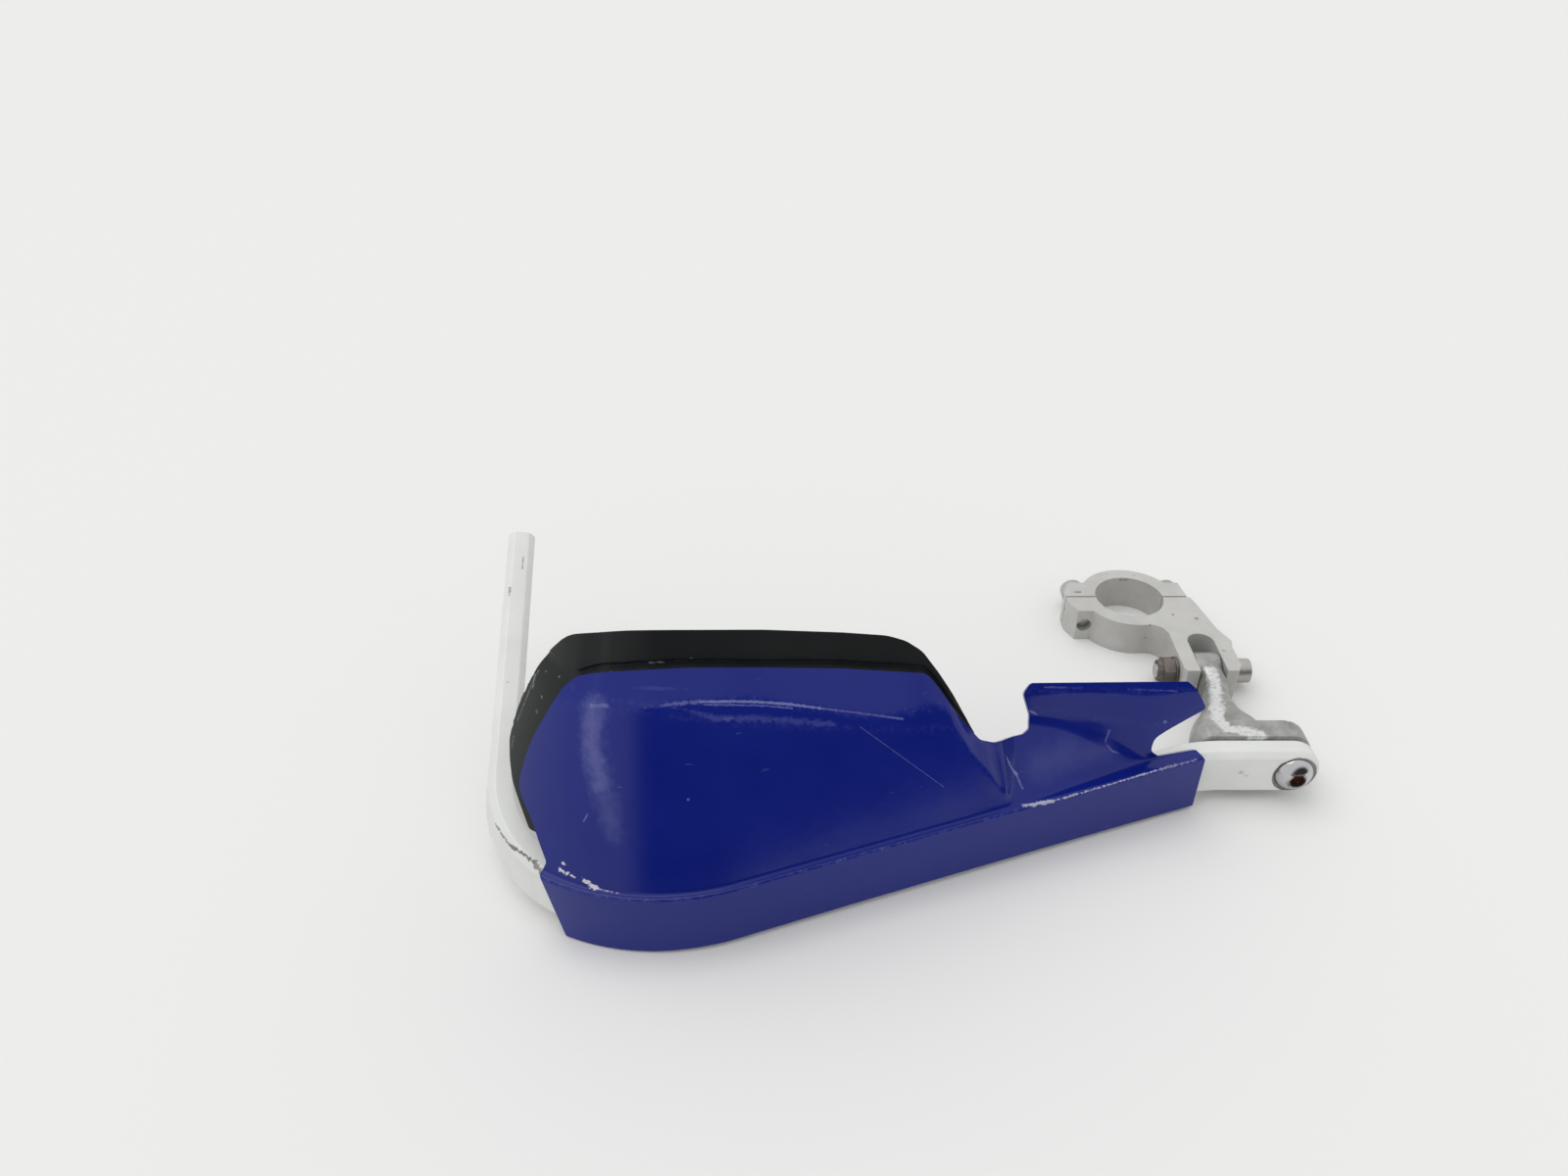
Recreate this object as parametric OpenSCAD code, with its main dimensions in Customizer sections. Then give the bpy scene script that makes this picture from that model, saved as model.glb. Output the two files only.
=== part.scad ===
// Motorcycle hand guard: a bent alloy bar with a plastic shield and wind deflector,
// a cast arm and a two-piece handlebar clamp.
// Millimetres. Origin at the centre of the handlebar bore, +Z along that bore,
// +X along the guard towards its inner end, +Y towards the rider.
// The guard stands on the lower edge of its shield and on the clamp.

/* [Handlebar clamp] */
// Diameter of the handlebar that the clamp grips
handlebar_d = 28.6; // [26:0.1:32]
// Height of the clamp along the handlebar
clamp_h = 15; // [13:0.5:20]
// Wall of the clamp ring
clamp_wall = 6.1; // [5:0.1:8]
// Gap between the two halves of the clamp
split_gap = 0.8; // [0.4:0.1:1.4]
// Depth of each ear behind and ahead of the split
ear_t = 10.6; // [9:0.2:13]
// Metal left between the bore and a clamp screw's hole
screw_land = 3; // [2:0.2:4]
// Metal left outside a clamp screw's hole
ear_edge = 3.2; // [2.5:0.1:5]

/* [Fork] */
// Distance of the fork's middle to the right of the bore's centre
fork_x = 21.7; // [18:0.1:24]
// Width of the fork's slot
slot_w = 10.8; // [9:0.1:13]
// Thickness of each prong
prong_t = 6.2; // [5:0.1:8]
// Solid metal between the ring and the slot's round root
fork_web = 5.9; // [4:0.1:9]
// Distance from the slot's root to the fork bolt
slot_reach = 14.7; // [13:0.1:18]
// Distance from the fork bolt to the prongs' ends
prong_over = 9.5; // [8:0.1:12]

/* [Arm] */
// Height of the arm's tongue in the fork
tongue_h = 14.6; // [12:0.2:15]
// Gap on each side of the tongue
tongue_gap = 0.25; // [0.1:0.05:0.5]
// Distance from the fork bolt to the back of the arm's foot
arm_reach = 47; // [40:0.5:60]
// Thickness of the arm's foot
foot_t = 9; // [7:0.2:12]
// Length of the foot from the pivot bolt to its far end
foot_run = 31.5; // [28:0.5:36]
// Distance of the pivot bolt to the right of the bore's centre
pivot_x = 33.5; // [30:0.5:40]
// Height of the pivot bolt above the surface that the guard stands on
pivot_up = 13; // [12:0.1:15]

/* [Guard bar] */
// Thickness of the flat bar
bar_t = 10; // [8:0.2:12]
// Height of the flat bar
bar_h = 19; // [16:0.2:20]
// Bevel along the bar's edges
bar_bevel = 2.2; // [0.5:0.1:3]
// Straight run from the pivot bolt to the first bend
inner_run = 24.9; // [15:0.5:35]
// Slope of the bar's front, in degrees
slope = 20; // [10:0.5:25]
// Straight front of the bar
front_run = 160.2; // [140:0.2:170]
// Turn of the wide bend at the outer end, in degrees
wide_turn = 37.3; // [34:0.1:42]
// Turn of the tight bend into the leg, in degrees
tight_turn = 69.3; // [62:0.1:76]
// Lean of the tight bend, which makes the leg rise and roll, in degrees
bend_lean = 19; // [0:1:24]
// Straight length of the leg
leg_run = 107.5; // [75:0.5:120]
// Diameter of the hole for the bar-end bolt
end_hole_d = 8.5; // [6:0.1:10.5]
// Distance of that hole from the end of the leg
end_hole_in = 12; // [9:0.5:20]

/* [Shield] */
// Wall of the shield
shield_wall = 2.2; // [1.6:0.1:2.6]
// Height of the band that covers the bar
band_h = 25; // [24:0.1:28]
// Gap between the band and the bar
bar_gap = 1; // [0.8:0.1:1.6]
// Depth of the flange under the bar
under_flange = 4; // [3:0.1:4.4]
// Straight front of the band
band_run = 171; // [165:1:180]
// Radius of the band's outer end
band_r = 75; // [70:1:85]

/* [Deflector] */
// Wall of the deflector
deflector_wall = 2; // [1.4:0.1:2.4]
// Gap between the shield and the deflector behind it
deflector_gap = 0.6; // [0.4:0.1:1.2]
// Lean of the deflector's upstand, in degrees
upstand_lean = 20; // [10:1:30]

/* [Fasteners] */
// Radius of the clamp screws and the fork bolt
m6_r = 3; // [2.5:0.05:3]
// Radius of the pivot bolt
m8_r = 4; // [3:0.05:4]
// Radius of the screws that hold the shield
m5_r = 2.5; // [2:0.05:2.5]
// Radius of the screws that hold the deflector
plastic_screw_r = 1.9; // [1.5:0.05:2]
// Running clearance of a bolt in the piece that turns on it
run_gap = 0.05; // [0.03:0.01:0.1]
// Clearance of a screw in a piece that it only holds
hole_gap = 0.3; // [0.2:0.05:0.5]
// Gap between faces that slide on each other
slide_gap = 0.05; // [0.02:0.01:0.1]

/* [Hidden] */
$fn = 64;

bore_r = handlebar_d / 2;
ring_r = bore_r + clamp_wall;
screw_x = bore_r + screw_land + m6_r + hole_gap;
ear_end = screw_x + m6_r + hole_gap + ear_edge;
head_r = 1.65 * m6_r;
head_h = 2 * m6_r;
rest_z = -clamp_h / 2;

slot_root = -(ring_r + fork_web);
fork_y = slot_root - slot_reach;
prong_end = fork_y - prong_over;
prong_left = fork_x - slot_w / 2 - prong_t;
prong_right = fork_x + slot_w / 2 + prong_t;
tongue_w = slot_w - 2 * tongue_gap;
washer_t = 1.2;
nut_h = 6.4;

foot_back = fork_y - arm_reach;
foot_front = foot_back - foot_t;
bar_back = foot_front - slide_gap;
pivot_z = rest_z + pivot_up;
spot_r = 7.8;
spot_deep = 0.8;

wide_r = 76.6;
tight_r = 46.5;
inner_r = 60;
end_bevel = 3;
// How far a cutter runs past the faces that it opens
cut_over = 20;

band_top = rest_z + band_h;
band_off = shield_wall + bar_gap + bar_t / 2;
band_lap = 8;
slope_start = [pivot_x - inner_run - inner_r * sin(slope),
               bar_back - bar_t / 2 - inner_r * (1 - cos(slope))];
band_start = slope_start + band_lap * [cos(slope), sin(slope)] - band_off * [-sin(slope), cos(slope)];
band_bend = band_start - band_run * [cos(slope), sin(slope)];
band_centre = band_bend + band_r * [-sin(slope), cos(slope)];

// Plan angle, place and inward direction of the band's outer face at distance s from its inner end
function band_angle(s) = s <= band_run ? slope : slope - (s - band_run) / band_r * 180 / PI;
function band_in(s) = [-sin(band_angle(s)), cos(band_angle(s))];
function band_at(s) = s <= band_run ? band_start - s * [cos(slope), sin(slope)]
                                    : band_centre - band_r * band_in(s);

// Shape of the panel above the band. Each row has its distance along the band, then
// five points up the section: depth behind the band's face and height above its top
panel = [
    [0,    [5.8, 0], [5.3, 6.5],   [4.6, 14.5],  [3.2, 27],    [5.2, 32]],
    [18.7, [5.8, 0], [6.2, 1.5],   [8, 14.5],    [10.2, 27],   [13, 32]],
    [35,   [5, 0],   [12.8, 7.5],  [15.3, 15.5], [16.7, 27],   [19.5, 32]],
    [52.4, [4.2, 0], [20.5, 15],   [21.5, 19.5], [22.5, 27],   [25.5, 32]],
    [64,   [3.4, 0], [23, 16.5],   [24.3, 20.5], [26.3, 27],   [29, 32]],
    [70,   [2.8, 0], [12, 8.5],    [18, 16.5],   [21, 22.5],   [26, 29.5]],
    [77,   [2.2, 0], [3.2, 2.5],   [4.4, 6],     [12, 16.5],   [20, 25.5]],
    [82,   [2.2, 0], [4.2, 5.3],   [6.8, 13],    [13.1, 21.2], [21.1, 29.9]],
    [86,   [2.2, 0], [5, 7.5],     [8.8, 18.5],  [14, 25],     [22, 33.5]],
    [94.4, [2.2, 0], [7, 13.5],    [13.3, 30.5], [17, 36.5],   [26, 46.5]],
    [101,  [2.2, 0], [8, 16.5],    [13.9, 32.2], [17.5, 38.5], [29, 51.5]],
    [113,  [2.2, 0], [8.5, 17.5],  [15.1, 35.5], [17.3, 39],   [34, 56.5]],
    [138,  [2.2, 0], [9.5, 20.5],  [17.3, 41.5], [20.4, 46.5], [35, 62.5]],
    [164,  [2.2, 0], [11, 24.5],   [20, 49],     [23.8, 55],   [36, 68.5]],
    [187,  [2.2, 0], [12, 26.5],   [22, 54.5],   [24, 57.5],   [34, 68.5]],
    [200,  [2.2, 0], [12, 26.5],   [22.8, 56.8], [23.5, 57.8], [33, 68.5]],
    [219,  [2.2, 0], [12, 26.5],   [22.8, 56.5], [24, 58],     [33, 67.5]],
    [226,  [2.4, 0], [12.2, 26.5], [23, 54.5],   [24.8, 57],   [34, 66.5]],
    [250,  [3.4, 0], [13.4, 26.5], [24, 52.5],   [26.5, 56.5], [35, 65.5]],
    [285,  [5.5, 0], [15.5, 26.5], [26, 51.5],   [28.5, 55.5], [37, 64.5]]
];

// Outlines are cut at right angles to the panel, which leans back by this angle
panel_lean = 39;

// Outline of the shield on the leaning panel: distance from the band's inner end,
// height up the slope from its top edge and the radius of the corner
shield_outline = [
    [1, -75, 0], [1, -1.5, 0], [-0.1, -0.9, 0.4], [-2.4, 2.5, 0.6], [-14.2, -2.9, 0.6],
    [-13.3, -0.6, 0.5], [-19.6, 0.7, 2], [-15.5, 9.4, 3], [-2.6, 17.2, 1.6], [-8.2, 24.3, 2.5],
    [-10.8, 26.5, 1.5], [-63.6, 26, 2], [-66.1, 22.5, 3], [-63.3, 15, 4], [-63.5, 10.4, 1.5],
    [-65.8, 8.6, 3], [-77.6, 6.5, 4], [-82.8, 7.6, 4], [-90.3, 15, 20], [-97.4, 24.7, 20],
    [-101.4, 29.3, 5], [-128.5, 30.8, 60], [-152.7, 31.1, 80], [-175.7, 31, 80], [-199.1, 29.8, 20],
    [-205.3, 29.2, 8], [-208.8, 28.4, 6], [-212.7, 25.6, 8], [-217.2, 19.9, 20],
    [-223.8, 10.4, 30], [-227.1, 4.1, 30], [-229.4, -2.2, 8], [-230, -5.4, 4], [-229.4, -8.7, 6],
    [-225.6, -16.1, 30], [-222.9, -24, 20], [-220.8, -29.4, 2], [-222.9, -33, 1],
    [-216.4, -55.3, 0], [-216.4, -75, 0]
];

// Outline of the deflector, in the same terms; its last points lie behind the shield
deflector_outline = [
    [-84.1, 9.5, 1], [-92.5, 22.7, 30], [-97.6, 29.9, 20], [-102.7, 36.3, 10], [-108.1, 39.5, 10],
    [-114.1, 41.2, 20], [-128.6, 42, 60], [-152.7, 42.5, 80], [-192.7, 41.9, 60], [-209.8, 41.1, 10],
    [-212.3, 40.5, 6], [-218.1, 37.2, 20], [-223.1, 32.2, 30], [-231.9, 18.7, 20], [-235.5, 8.8, 10],
    [-235.2, 1.8, 20], [-233.4, -4.6, 20], [-225.8, -20.4, 2], [-221, -22, 2], [-213.7, -9.8, 12],
    [-204.4, 3.9, 12], [-195.4, 9.5, 12], [-188.3, 11.5, 12], [-178.7, 13, 20], [-161.9, 13.5, 40],
    [-121.1, 12.5, 20], [-109.4, 11.5, 12], [-96.3, 7.5, 8], [-88, 5.5, 3]
];

// Height above the band's top at which the deflector leaves the shield's upper edge
deflector_fold = [
    [82, 20.6], [86, 25.5], [90, 31.3], [94.4, 39.3], [97, 43.1], [99, 44.9], [104, 46.2],
    [113, 48], [126, 51.6], [151, 57.8], [164, 60.9], [178.5, 63.2], [187, 63.8], [200, 64.1],
    [212, 63.2], [219, 62.5], [226, 60.8], [232, 59.2], [238, 57.6], [285, 56.5]
];

// Rise of the band's lower edge above the surface that the guard stands on
band_rise = [[0, 1], [60, 1.6], [120, 1.7], [177, 1.2], [205, 0.3], [220, 0], [285, 0]];

// Distances along the band at which sections are drawn: the rows, and steps round the bend
bend_step = 4;
band_end = 284;
bend_stops = [for (s = [band_run : bend_step : band_end]) s];
row_stops = [for (row = panel) if (row[0] < band_run) row[0]];
shield_stops = concat(row_stops, bend_stops);
deflector_stops = [for (s = shield_stops) if (s > 80) s];

shield_screw_stops = [22, 138];
deflector_screw_stops = [122, 164, 206];
screw_drop = 5.4;
fold_over = 0.2;
bead_h = 1.6;
bead_in = 0.7;
upstand_h = 18;

boss_r = 4.8;
insert_r = 3.2;
insert_h = 7;
boss_short = 0.5;
plate_r = 8;
stud_r = 3.5;
flange_r = 4.8;
seat_r = flange_r + 0.4;

function mix(a, b, t) = a + t * (b - a);
function row_at(s, i = 0) = s <= panel[i + 1][0] || i == len(panel) - 2
    ? let (a = panel[i], b = panel[i + 1], t = (s - a[0]) / (b[0] - a[0]))
      [for (k = [1 : 5]) mix(a[k], b[k], t)]
    : row_at(s, i + 1);

// Unit normal of a section's step, pointing into the wall
function step_normal(a, b) = [b[1] - a[1], a[0] - b[0]] / norm(b - a);
// A section moved by w towards the inside
function inset(pts, w) = [for (i = [0 : len(pts) - 1])
    let (n1 = step_normal(pts[max(i - 1, 0)], pts[max(i, 1)]),
         n2 = step_normal(pts[min(i, len(pts) - 2)], pts[min(i + 1, len(pts) - 1)]))
    pts[i] + w * (n1 + n2) / (1 + n1 * n2)];

// The shield's outer section: under flange, band, ledge and panel
function shield_section(s) = let (foot = lookup(s, band_rise) - band_h)
    concat([[under_flange, foot], [0, foot], [0, 0]], row_at(s));

// The deflector's outer section: behind the panel, then the fold, a small bead and the upstand
function deflector_section(s) =
    let (row = row_at(s), behind = inset(row, shield_wall + deflector_gap),
         fold_h = lookup(s, deflector_fold) + fold_over,
         t = max(0.05, (fold_h - behind[3][1]) / (behind[4][1] - behind[3][1])),
         fold = mix(behind[3], behind[4], t), tilt = tan(upstand_lean))
    [mix(behind[0], behind[1], 0.1), behind[1], behind[2], behind[3], fold,
     fold + bead_h * [tilt, 1], fold + [1.5 * bead_h * tilt - bead_in, 1.5 * bead_h],
     fold + [upstand_h * tilt - bead_in, upstand_h]];

function lift(s, p) = let (q = band_at(s) + p[0] * band_in(s)) [q[0], q[1], band_top + p[1]];

// A wall through the rings, each a closed loop of points, capped at both ends
module loft(rings) {
    n = len(rings[0]);
    m = len(rings);
    half = n / 2;
    points = [for (ring = rings) each ring];
    // Both faces of the wall are split along the same diagonals, so that it keeps its thickness
    sides = [for (j = [0 : m - 2], i = [0 : n - 1])
        let (a = j * n + i, b = j * n + (i + 1) % n)
        each i < half ? [[a, b + n, b], [a, a + n, b + n]] : [[a, a + n, b], [b, a + n, b + n]]];
    caps = [for (i = [0 : half - 2])
        each [[i, i + 1, n - 1 - i], [i + 1, n - 2 - i, n - 1 - i]]];
    ends = [for (c = caps) each [c, [for (k = [2, 1, 0]) c[k] + (m - 1) * n]]];
    polyhedron(points, concat(sides, ends), convexity = 6);
}

function ring_of(s, section, wall) =
    let (inner = inset(section, wall))
    concat([for (p = section) lift(s, p)], [for (i = [len(inner) - 1 : -1 : 0]) lift(s, inner[i])]);

// A corner of an outline, rounded to radius r with a few points
function corner(a, b, c, r) = r <= 0 ? [b] :
    let (u = (a - b) / norm(a - b), v = (c - b) / norm(c - b),
         half = acos(max(-1, min(1, u * v))) / 2,
         reach = min(r / tan(half), 0.48 * norm(a - b), 0.48 * norm(c - b)),
         rr = reach * tan(half),
         centre = b + (u + v) / norm(u + v) * rr / sin(half),
         from = b + reach * u - centre, to = b + reach * v - centre,
         steps = 4)
    [for (k = [0 : steps]) let (w = mix(from, to, k / steps)) centre + w / norm(w) * rr];

function rounded(pts) = [for (i = [0 : len(pts) - 1])
    let (n = len(pts), a = pts[(i + n - 1) % n], b = pts[i], c = pts[(i + 1) % n])
    each corner([a[0], a[1]], [b[0], b[1]], [c[0], c[1]], b[2])];

module panel_prism(outline) {
    translate([band_start[0], band_start[1], band_top])
        rotate([90 - panel_lean, 0, 0])
            linear_extrude(2 * band_run, center = true) polygon(rounded(outline));
}

// Places a child on the band's face at s, its +Z pointing back through the bar
module on_band(s) {
    translate([band_at(s)[0], band_at(s)[1], pivot_z])
        rotate([0, 0, band_angle(s)])
            rotate([-90, 0, 0]) children();
}

// Places a child on the upper panel near its edge, its +Z pointing into the wall
module on_panel(s) {
    row = row_at(s);
    t = (lookup(s, deflector_fold) - screw_drop - row[3][1]) / (row[4][1] - row[3][1]);
    lean = atan2(row[4][0] - row[3][0], row[4][1] - row[3][1]);
    translate(lift(s, mix(row[3], row[4], t)))
        rotate([0, 0, band_angle(s)])
            rotate([-90 - lean, 0, 0]) children();
}

module socket_recess(across, deep) {
    cylinder(r = across / 2 / cos(30), h = deep, $fn = 6);
}

// Cap screw with its head from z = 0 up and its shank below
module cap_screw(r, shank) {
    difference() {
        union() {
            cylinder(r = head_r, h = head_h);
            translate([0, 0, -shank]) cylinder(r = r, h = shank);
        }
        translate([0, 0, head_h - 3]) socket_recess(5, 4);
    }
}

// Low round head from z = 0 up
module button_head(r, h) {
    ball = (r * r + h * h) / (2 * h);
    rotate_extrude()
        intersection() {
            translate([0, h - ball]) circle(r = ball);
            square([r, h]);
        }
}

// Clamp screw, its head seated on the back of the cap
module clamp_screw(x) {
    color("gray")
        translate([x, ear_t, 0])
            rotate([-90, 0, 0]) cap_screw(m6_r, 18);
}

// Everything behind the body's split face, or ahead of the cap's
module half_space(side) {
    translate([-60, side > 0 ? -split_gap / 2 : split_gap / 2 - 100, -clamp_h])
        cube([120, 100, 2 * clamp_h]);
}

function fillet(centre, r, from, to) =
    [for (k = [0 : 6]) let (a = mix(from, to, k / 6)) centre + r * [cos(a), sin(a)]];

module clamp_body() {
    ear = ear_end;
    shoulder = ear_t - 0.2;
    fillet_r = 6.5;
    fillet_x = prong_left - fillet_r;
    fillet_y = -sqrt(pow(ring_r + fillet_r, 2) - fillet_x * fillet_x);
    meet = atan2(-fillet_y, -fillet_x);
    color("gainsboro")
        difference() {
            union() {
                translate([0, 0, rest_z]) cylinder(r = ring_r, h = clamp_h, $fn = 96);
                translate([0, 0, rest_z])
                    linear_extrude(clamp_h) polygon([[-ear, 1], [-ear, -3.4], [-ear + 3.2, -shoulder],
                        [-screw_x + m6_r + 0.6, -shoulder], [-ring_r * cos(49), -ring_r * sin(49)], [0, 0]]);
                translate([0, 0, rest_z])
                    linear_extrude(clamp_h) polygon(concat(
                        [[0, 0], [0, -ring_r + 1]],
                        fillet([fillet_x, fillet_y], fillet_r, meet, 0),
                        [[prong_left, prong_end + 1.6], [prong_left + 1.2, prong_end],
                         [prong_right - 2, prong_end], [prong_right, prong_end + 3.5],
                         [prong_right, fork_y + 6], [prong_right + 1.1, fork_y + 9.6],
                         [prong_right - 2.6, slot_root + 3.5], [screw_x + 7, -7], [screw_x + 5, 1]]));
            }
            half_space(1);
            translate([0, 0, rest_z - 1]) cylinder(r = bore_r, h = clamp_h + 2, $fn = 96);
            translate([fork_x, slot_root - slot_w / 2, rest_z - 1])
                cylinder(r = slot_w / 2, h = clamp_h + 2);
            translate([fork_x - slot_w / 2, prong_end - 1, rest_z - 1])
                cube([slot_w, slot_root - slot_w / 2 - prong_end + 1, clamp_h + 2]);
            translate([-screw_x, 0, 0])
                rotate([90, 0, 0]) cylinder(r = m6_r + run_gap, h = 40);
            translate([screw_x, 0, 0])
                rotate([90, 0, 0]) cylinder(r = m6_r + run_gap, h = 12);
            translate([prong_left - 20, fork_y, 0])
                rotate([0, 90, 0]) cylinder(r = m6_r + hole_gap, h = 60);
        }
}

module clamp_cap() {
    ear = ear_end;
    right = screw_x + 4.4;
    color("gainsboro")
        difference() {
            union() {
                translate([0, 0, rest_z]) cylinder(r = ring_r, h = clamp_h, $fn = 96);
                translate([0, 0, rest_z])
                    linear_extrude(clamp_h) polygon([[-ear, -1], [-ear, 4], [-ear + 2.2, ear_t - 1.2],
                        [-ear + 4, ear_t], [-screw_x + 5.4, ear_t], [-ring_r * cos(48), ring_r * sin(48)],
                        [ring_r * cos(48), ring_r * sin(48)], [screw_x - 5, ear_t], [right - 1.4, ear_t],
                        [right, -1]]);
            }
            half_space(-1);
            translate([0, 0, rest_z - 1]) cylinder(r = bore_r, h = clamp_h + 2, $fn = 96);
            for (x = [-screw_x, screw_x])
                translate([x, 0, 0])
                    rotate([-90, 0, 0]) {
                        translate([0, 0, -1]) cylinder(r = m6_r + hole_gap, h = 2 * ear_t);
                        translate([0, 0, ear_t]) cylinder(r = head_r + 0.4, h = 20);
                    }
        }
}

module clamp_screw_left() {
    clamp_screw(-screw_x);
}

module clamp_screw_right() {
    clamp_screw(screw_x);
}

// Fork bolt along X, its head on the right prong
module fork_bolt() {
    grip = prong_right - prong_left + washer_t + nut_h + 0.8;
    color("silver")
        translate([prong_right, fork_y, 0])
            rotate([0, 90, 0]) cap_screw(m6_r, grip);
}

module fork_washer() {
    color("dimgray")
        translate([prong_left - washer_t, fork_y, 0])
            rotate([0, 90, 0])
                difference() {
                    cylinder(r = 1.9 * m6_r, h = washer_t);
                    translate([0, 0, -1]) cylinder(r = m6_r + hole_gap, h = washer_t + 2);
                }
}

// Lock nut: a hexagon with a round collar
module fork_nut() {
    hex_h = 4.6;
    color("dimgray")
        translate([prong_left - washer_t, fork_y, 0])
            rotate([0, -90, 0])
                difference() {
                    union() {
                        cylinder(r = 5 / cos(30), h = hex_h, $fn = 6);
                        cylinder(r = 4.4, h = nut_h);
                    }
                    translate([0, 0, -1]) cylinder(r = m6_r + run_gap, h = nut_h + 2);
                }
}

// Cast arm: tongue, rising neck and foot plate
neck = [
    // distance ahead of the fork bolt, middle across, half width, middle height, half height
    [0, 0, 0.49, 0, 0.49], [13, 0, 0.475, 0.06, 0.5], [21, -2.5, 0.466, 0.27, 0.534],
    [29, -4.2, 0.534, 0.545, 0.568], [37, -6.2, 0.777, 0.82, 0.603], [43, -6.7, 1.165, 0.96, 0.63],
    [49, -6.7, 1.36, 1, 0.644]
];
neck_sides = 20;

function neck_ring(row) = [for (k = [0 : neck_sides - 1])
    let (a = 360 * k / neck_sides, c = cos(a), s = sin(a),
         x = sign(c) * pow(abs(c), 0.62), z = sign(s) * pow(abs(s), 0.62))
    [fork_x + row[1] + tongue_w * row[2] * x,
     fork_y - row[0] * arm_reach / 47,
     pivot_z * row[3] + tongue_h * row[4] * z]];

module tube_loft(rings) {
    n = len(rings[0]);
    m = len(rings);
    points = [for (ring = rings) each ring];
    sides = [for (j = [0 : m - 2], i = [0 : n - 1])
        let (a = j * n + i, b = j * n + (i + 1) % n)
        each [[a, b + n, b], [a, a + n, b + n]]];
    ends = [[for (i = [0 : n - 1]) i], [for (i = [n - 1 : -1 : 0]) (m - 1) * n + i]];
    polyhedron(points, concat(sides, ends), convexity = 4);
}

module foot_outline() {
    r = bar_h / 2;
    translate([pivot_x, pivot_z]) circle(r = r);
    polygon([[pivot_x, pivot_z - r], [pivot_x, pivot_z + r], [pivot_x - foot_run + 2.5, pivot_z + r],
             [pivot_x - foot_run, pivot_z + r - 2.5], [pivot_x - foot_run, pivot_z - r + 2.5],
             [pivot_x - foot_run + 2.5, pivot_z - r]]);
}

module mounting_arm() {
    color("darkgray")
        difference() {
            union() {
                translate([fork_x - tongue_w / 2, fork_y, 0])
                    rotate([0, 90, 0]) cylinder(r = tongue_h / 2, h = tongue_w);
                translate([0, foot_back, 0])
                    rotate([90, 0, 0]) linear_extrude(foot_t) foot_outline();
                tube_loft([for (row = neck) neck_ring(row)]);
            }
            translate([fork_x - 20, fork_y, 0])
                rotate([0, 90, 0]) cylinder(r = m6_r + run_gap, h = 40);
            translate([pivot_x, foot_back + 20, pivot_z])
                rotate([90, 0, 0]) cylinder(r = m8_r + run_gap, h = 40);
        }
}

// Button-head bolt that the bar turns on, threaded into the arm's foot
module pivot_bolt() {
    seat = bar_back - bar_t + spot_deep - slide_gap;
    color("silver")
        translate([pivot_x, seat, pivot_z])
            rotate([90, 0, 0])
                difference() {
                    union() {
                        button_head(7, 4.4);
                        translate([0, 0, seat - foot_back + 0.5])
                            cylinder(r = m8_r, h = foot_back - seat - 0.5);
                    }
                    translate([0, 0, 1.9]) socket_recess(5, 4);
                }
}

function bar_profile(t, h) = let (a = t / 2, b = h / 2, c = bar_bevel)
    [[a, -b + c], [a, b - c], [a - c, b], [c - a, b], [-a, b - c], [-a, c - b], [c - a, -b], [a - c, -b]];

// A frame along the bar: its place, then its forward, thickness and height directions
function ahead(f, run) = [f[0] + run * f[1], f[1], f[2], f[3]];
function spun(v, u, a) = v * cos(a) + cross(u, v) * sin(a) + u * (u * v) * (1 - cos(a));

// The frame after a bend of radius r about an axis that leans from the height direction
function bent(f, r, a, lean = 0) =
    let (u = cos(lean) * f[3] - sin(lean) * f[2],
         centre = f[0] + r * (cos(lean) * f[2] + sin(lean) * f[3]))
    [centre + spun(f[0] - centre, u, a), spun(f[1], u, a), spun(f[2], u, a), spun(f[3], u, a)];

function bend_frames(f, r, a, lean = 0) =
    let (steps = ceil(abs(a) / bar_step))
    [for (k = [1 : steps]) bent(f, r, a * k / steps, lean)];

function last(list) = list[len(list) - 1];

function bar_ring(f, across = 1, along = 1) =
    [for (q = bar_profile(bar_t, bar_h)) f[0] + across * q[0] * f[2] + along * q[1] * f[3]];

bar_step = 3;
pivot_frame = [[pivot_x, bar_back - bar_t / 2, pivot_z], [-1, 0, 0], [0, -1, 0], [0, 0, 1]];
inner_frames = bend_frames(ahead(pivot_frame, inner_run), inner_r, slope);
wide_start = ahead(last(inner_frames), front_run);
wide_frames = bend_frames(wide_start, -wide_r, -wide_turn);
tight_frames = bend_frames(last(wide_frames), -tight_r, -tight_turn, -bend_lean);
leg_frame = last(tight_frames);
bar_frames = concat([pivot_frame, ahead(pivot_frame, inner_run)], inner_frames, [wide_start],
                    wide_frames, tight_frames, [ahead(leg_frame, leg_run - end_bevel)]);

module at_frame(f) {
    multmatrix([for (k = [0 : 2]) [f[1][k], f[2][k], f[3][k], f[0][k]]]) children();
}

module bar_round_end() {
    r = bar_h / 2;
    c = bar_bevel;
    rotate([90, 0, 0])
        rotate_extrude()
            polygon([[0, -bar_t / 2], [r - c, -bar_t / 2], [r, c - bar_t / 2],
                     [r, bar_t / 2 - c], [r - c, bar_t / 2], [0, bar_t / 2]]);
}

module bar_blank() {
    translate([pivot_x, bar_back - bar_t / 2, pivot_z]) bar_round_end();
    tube_loft(concat([for (f = bar_frames) bar_ring(f)],
                     [bar_ring(ahead(leg_frame, leg_run),
                               1 - 2 * end_bevel / bar_t, 1 - 2 * end_bevel / bar_h)]));
}

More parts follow.
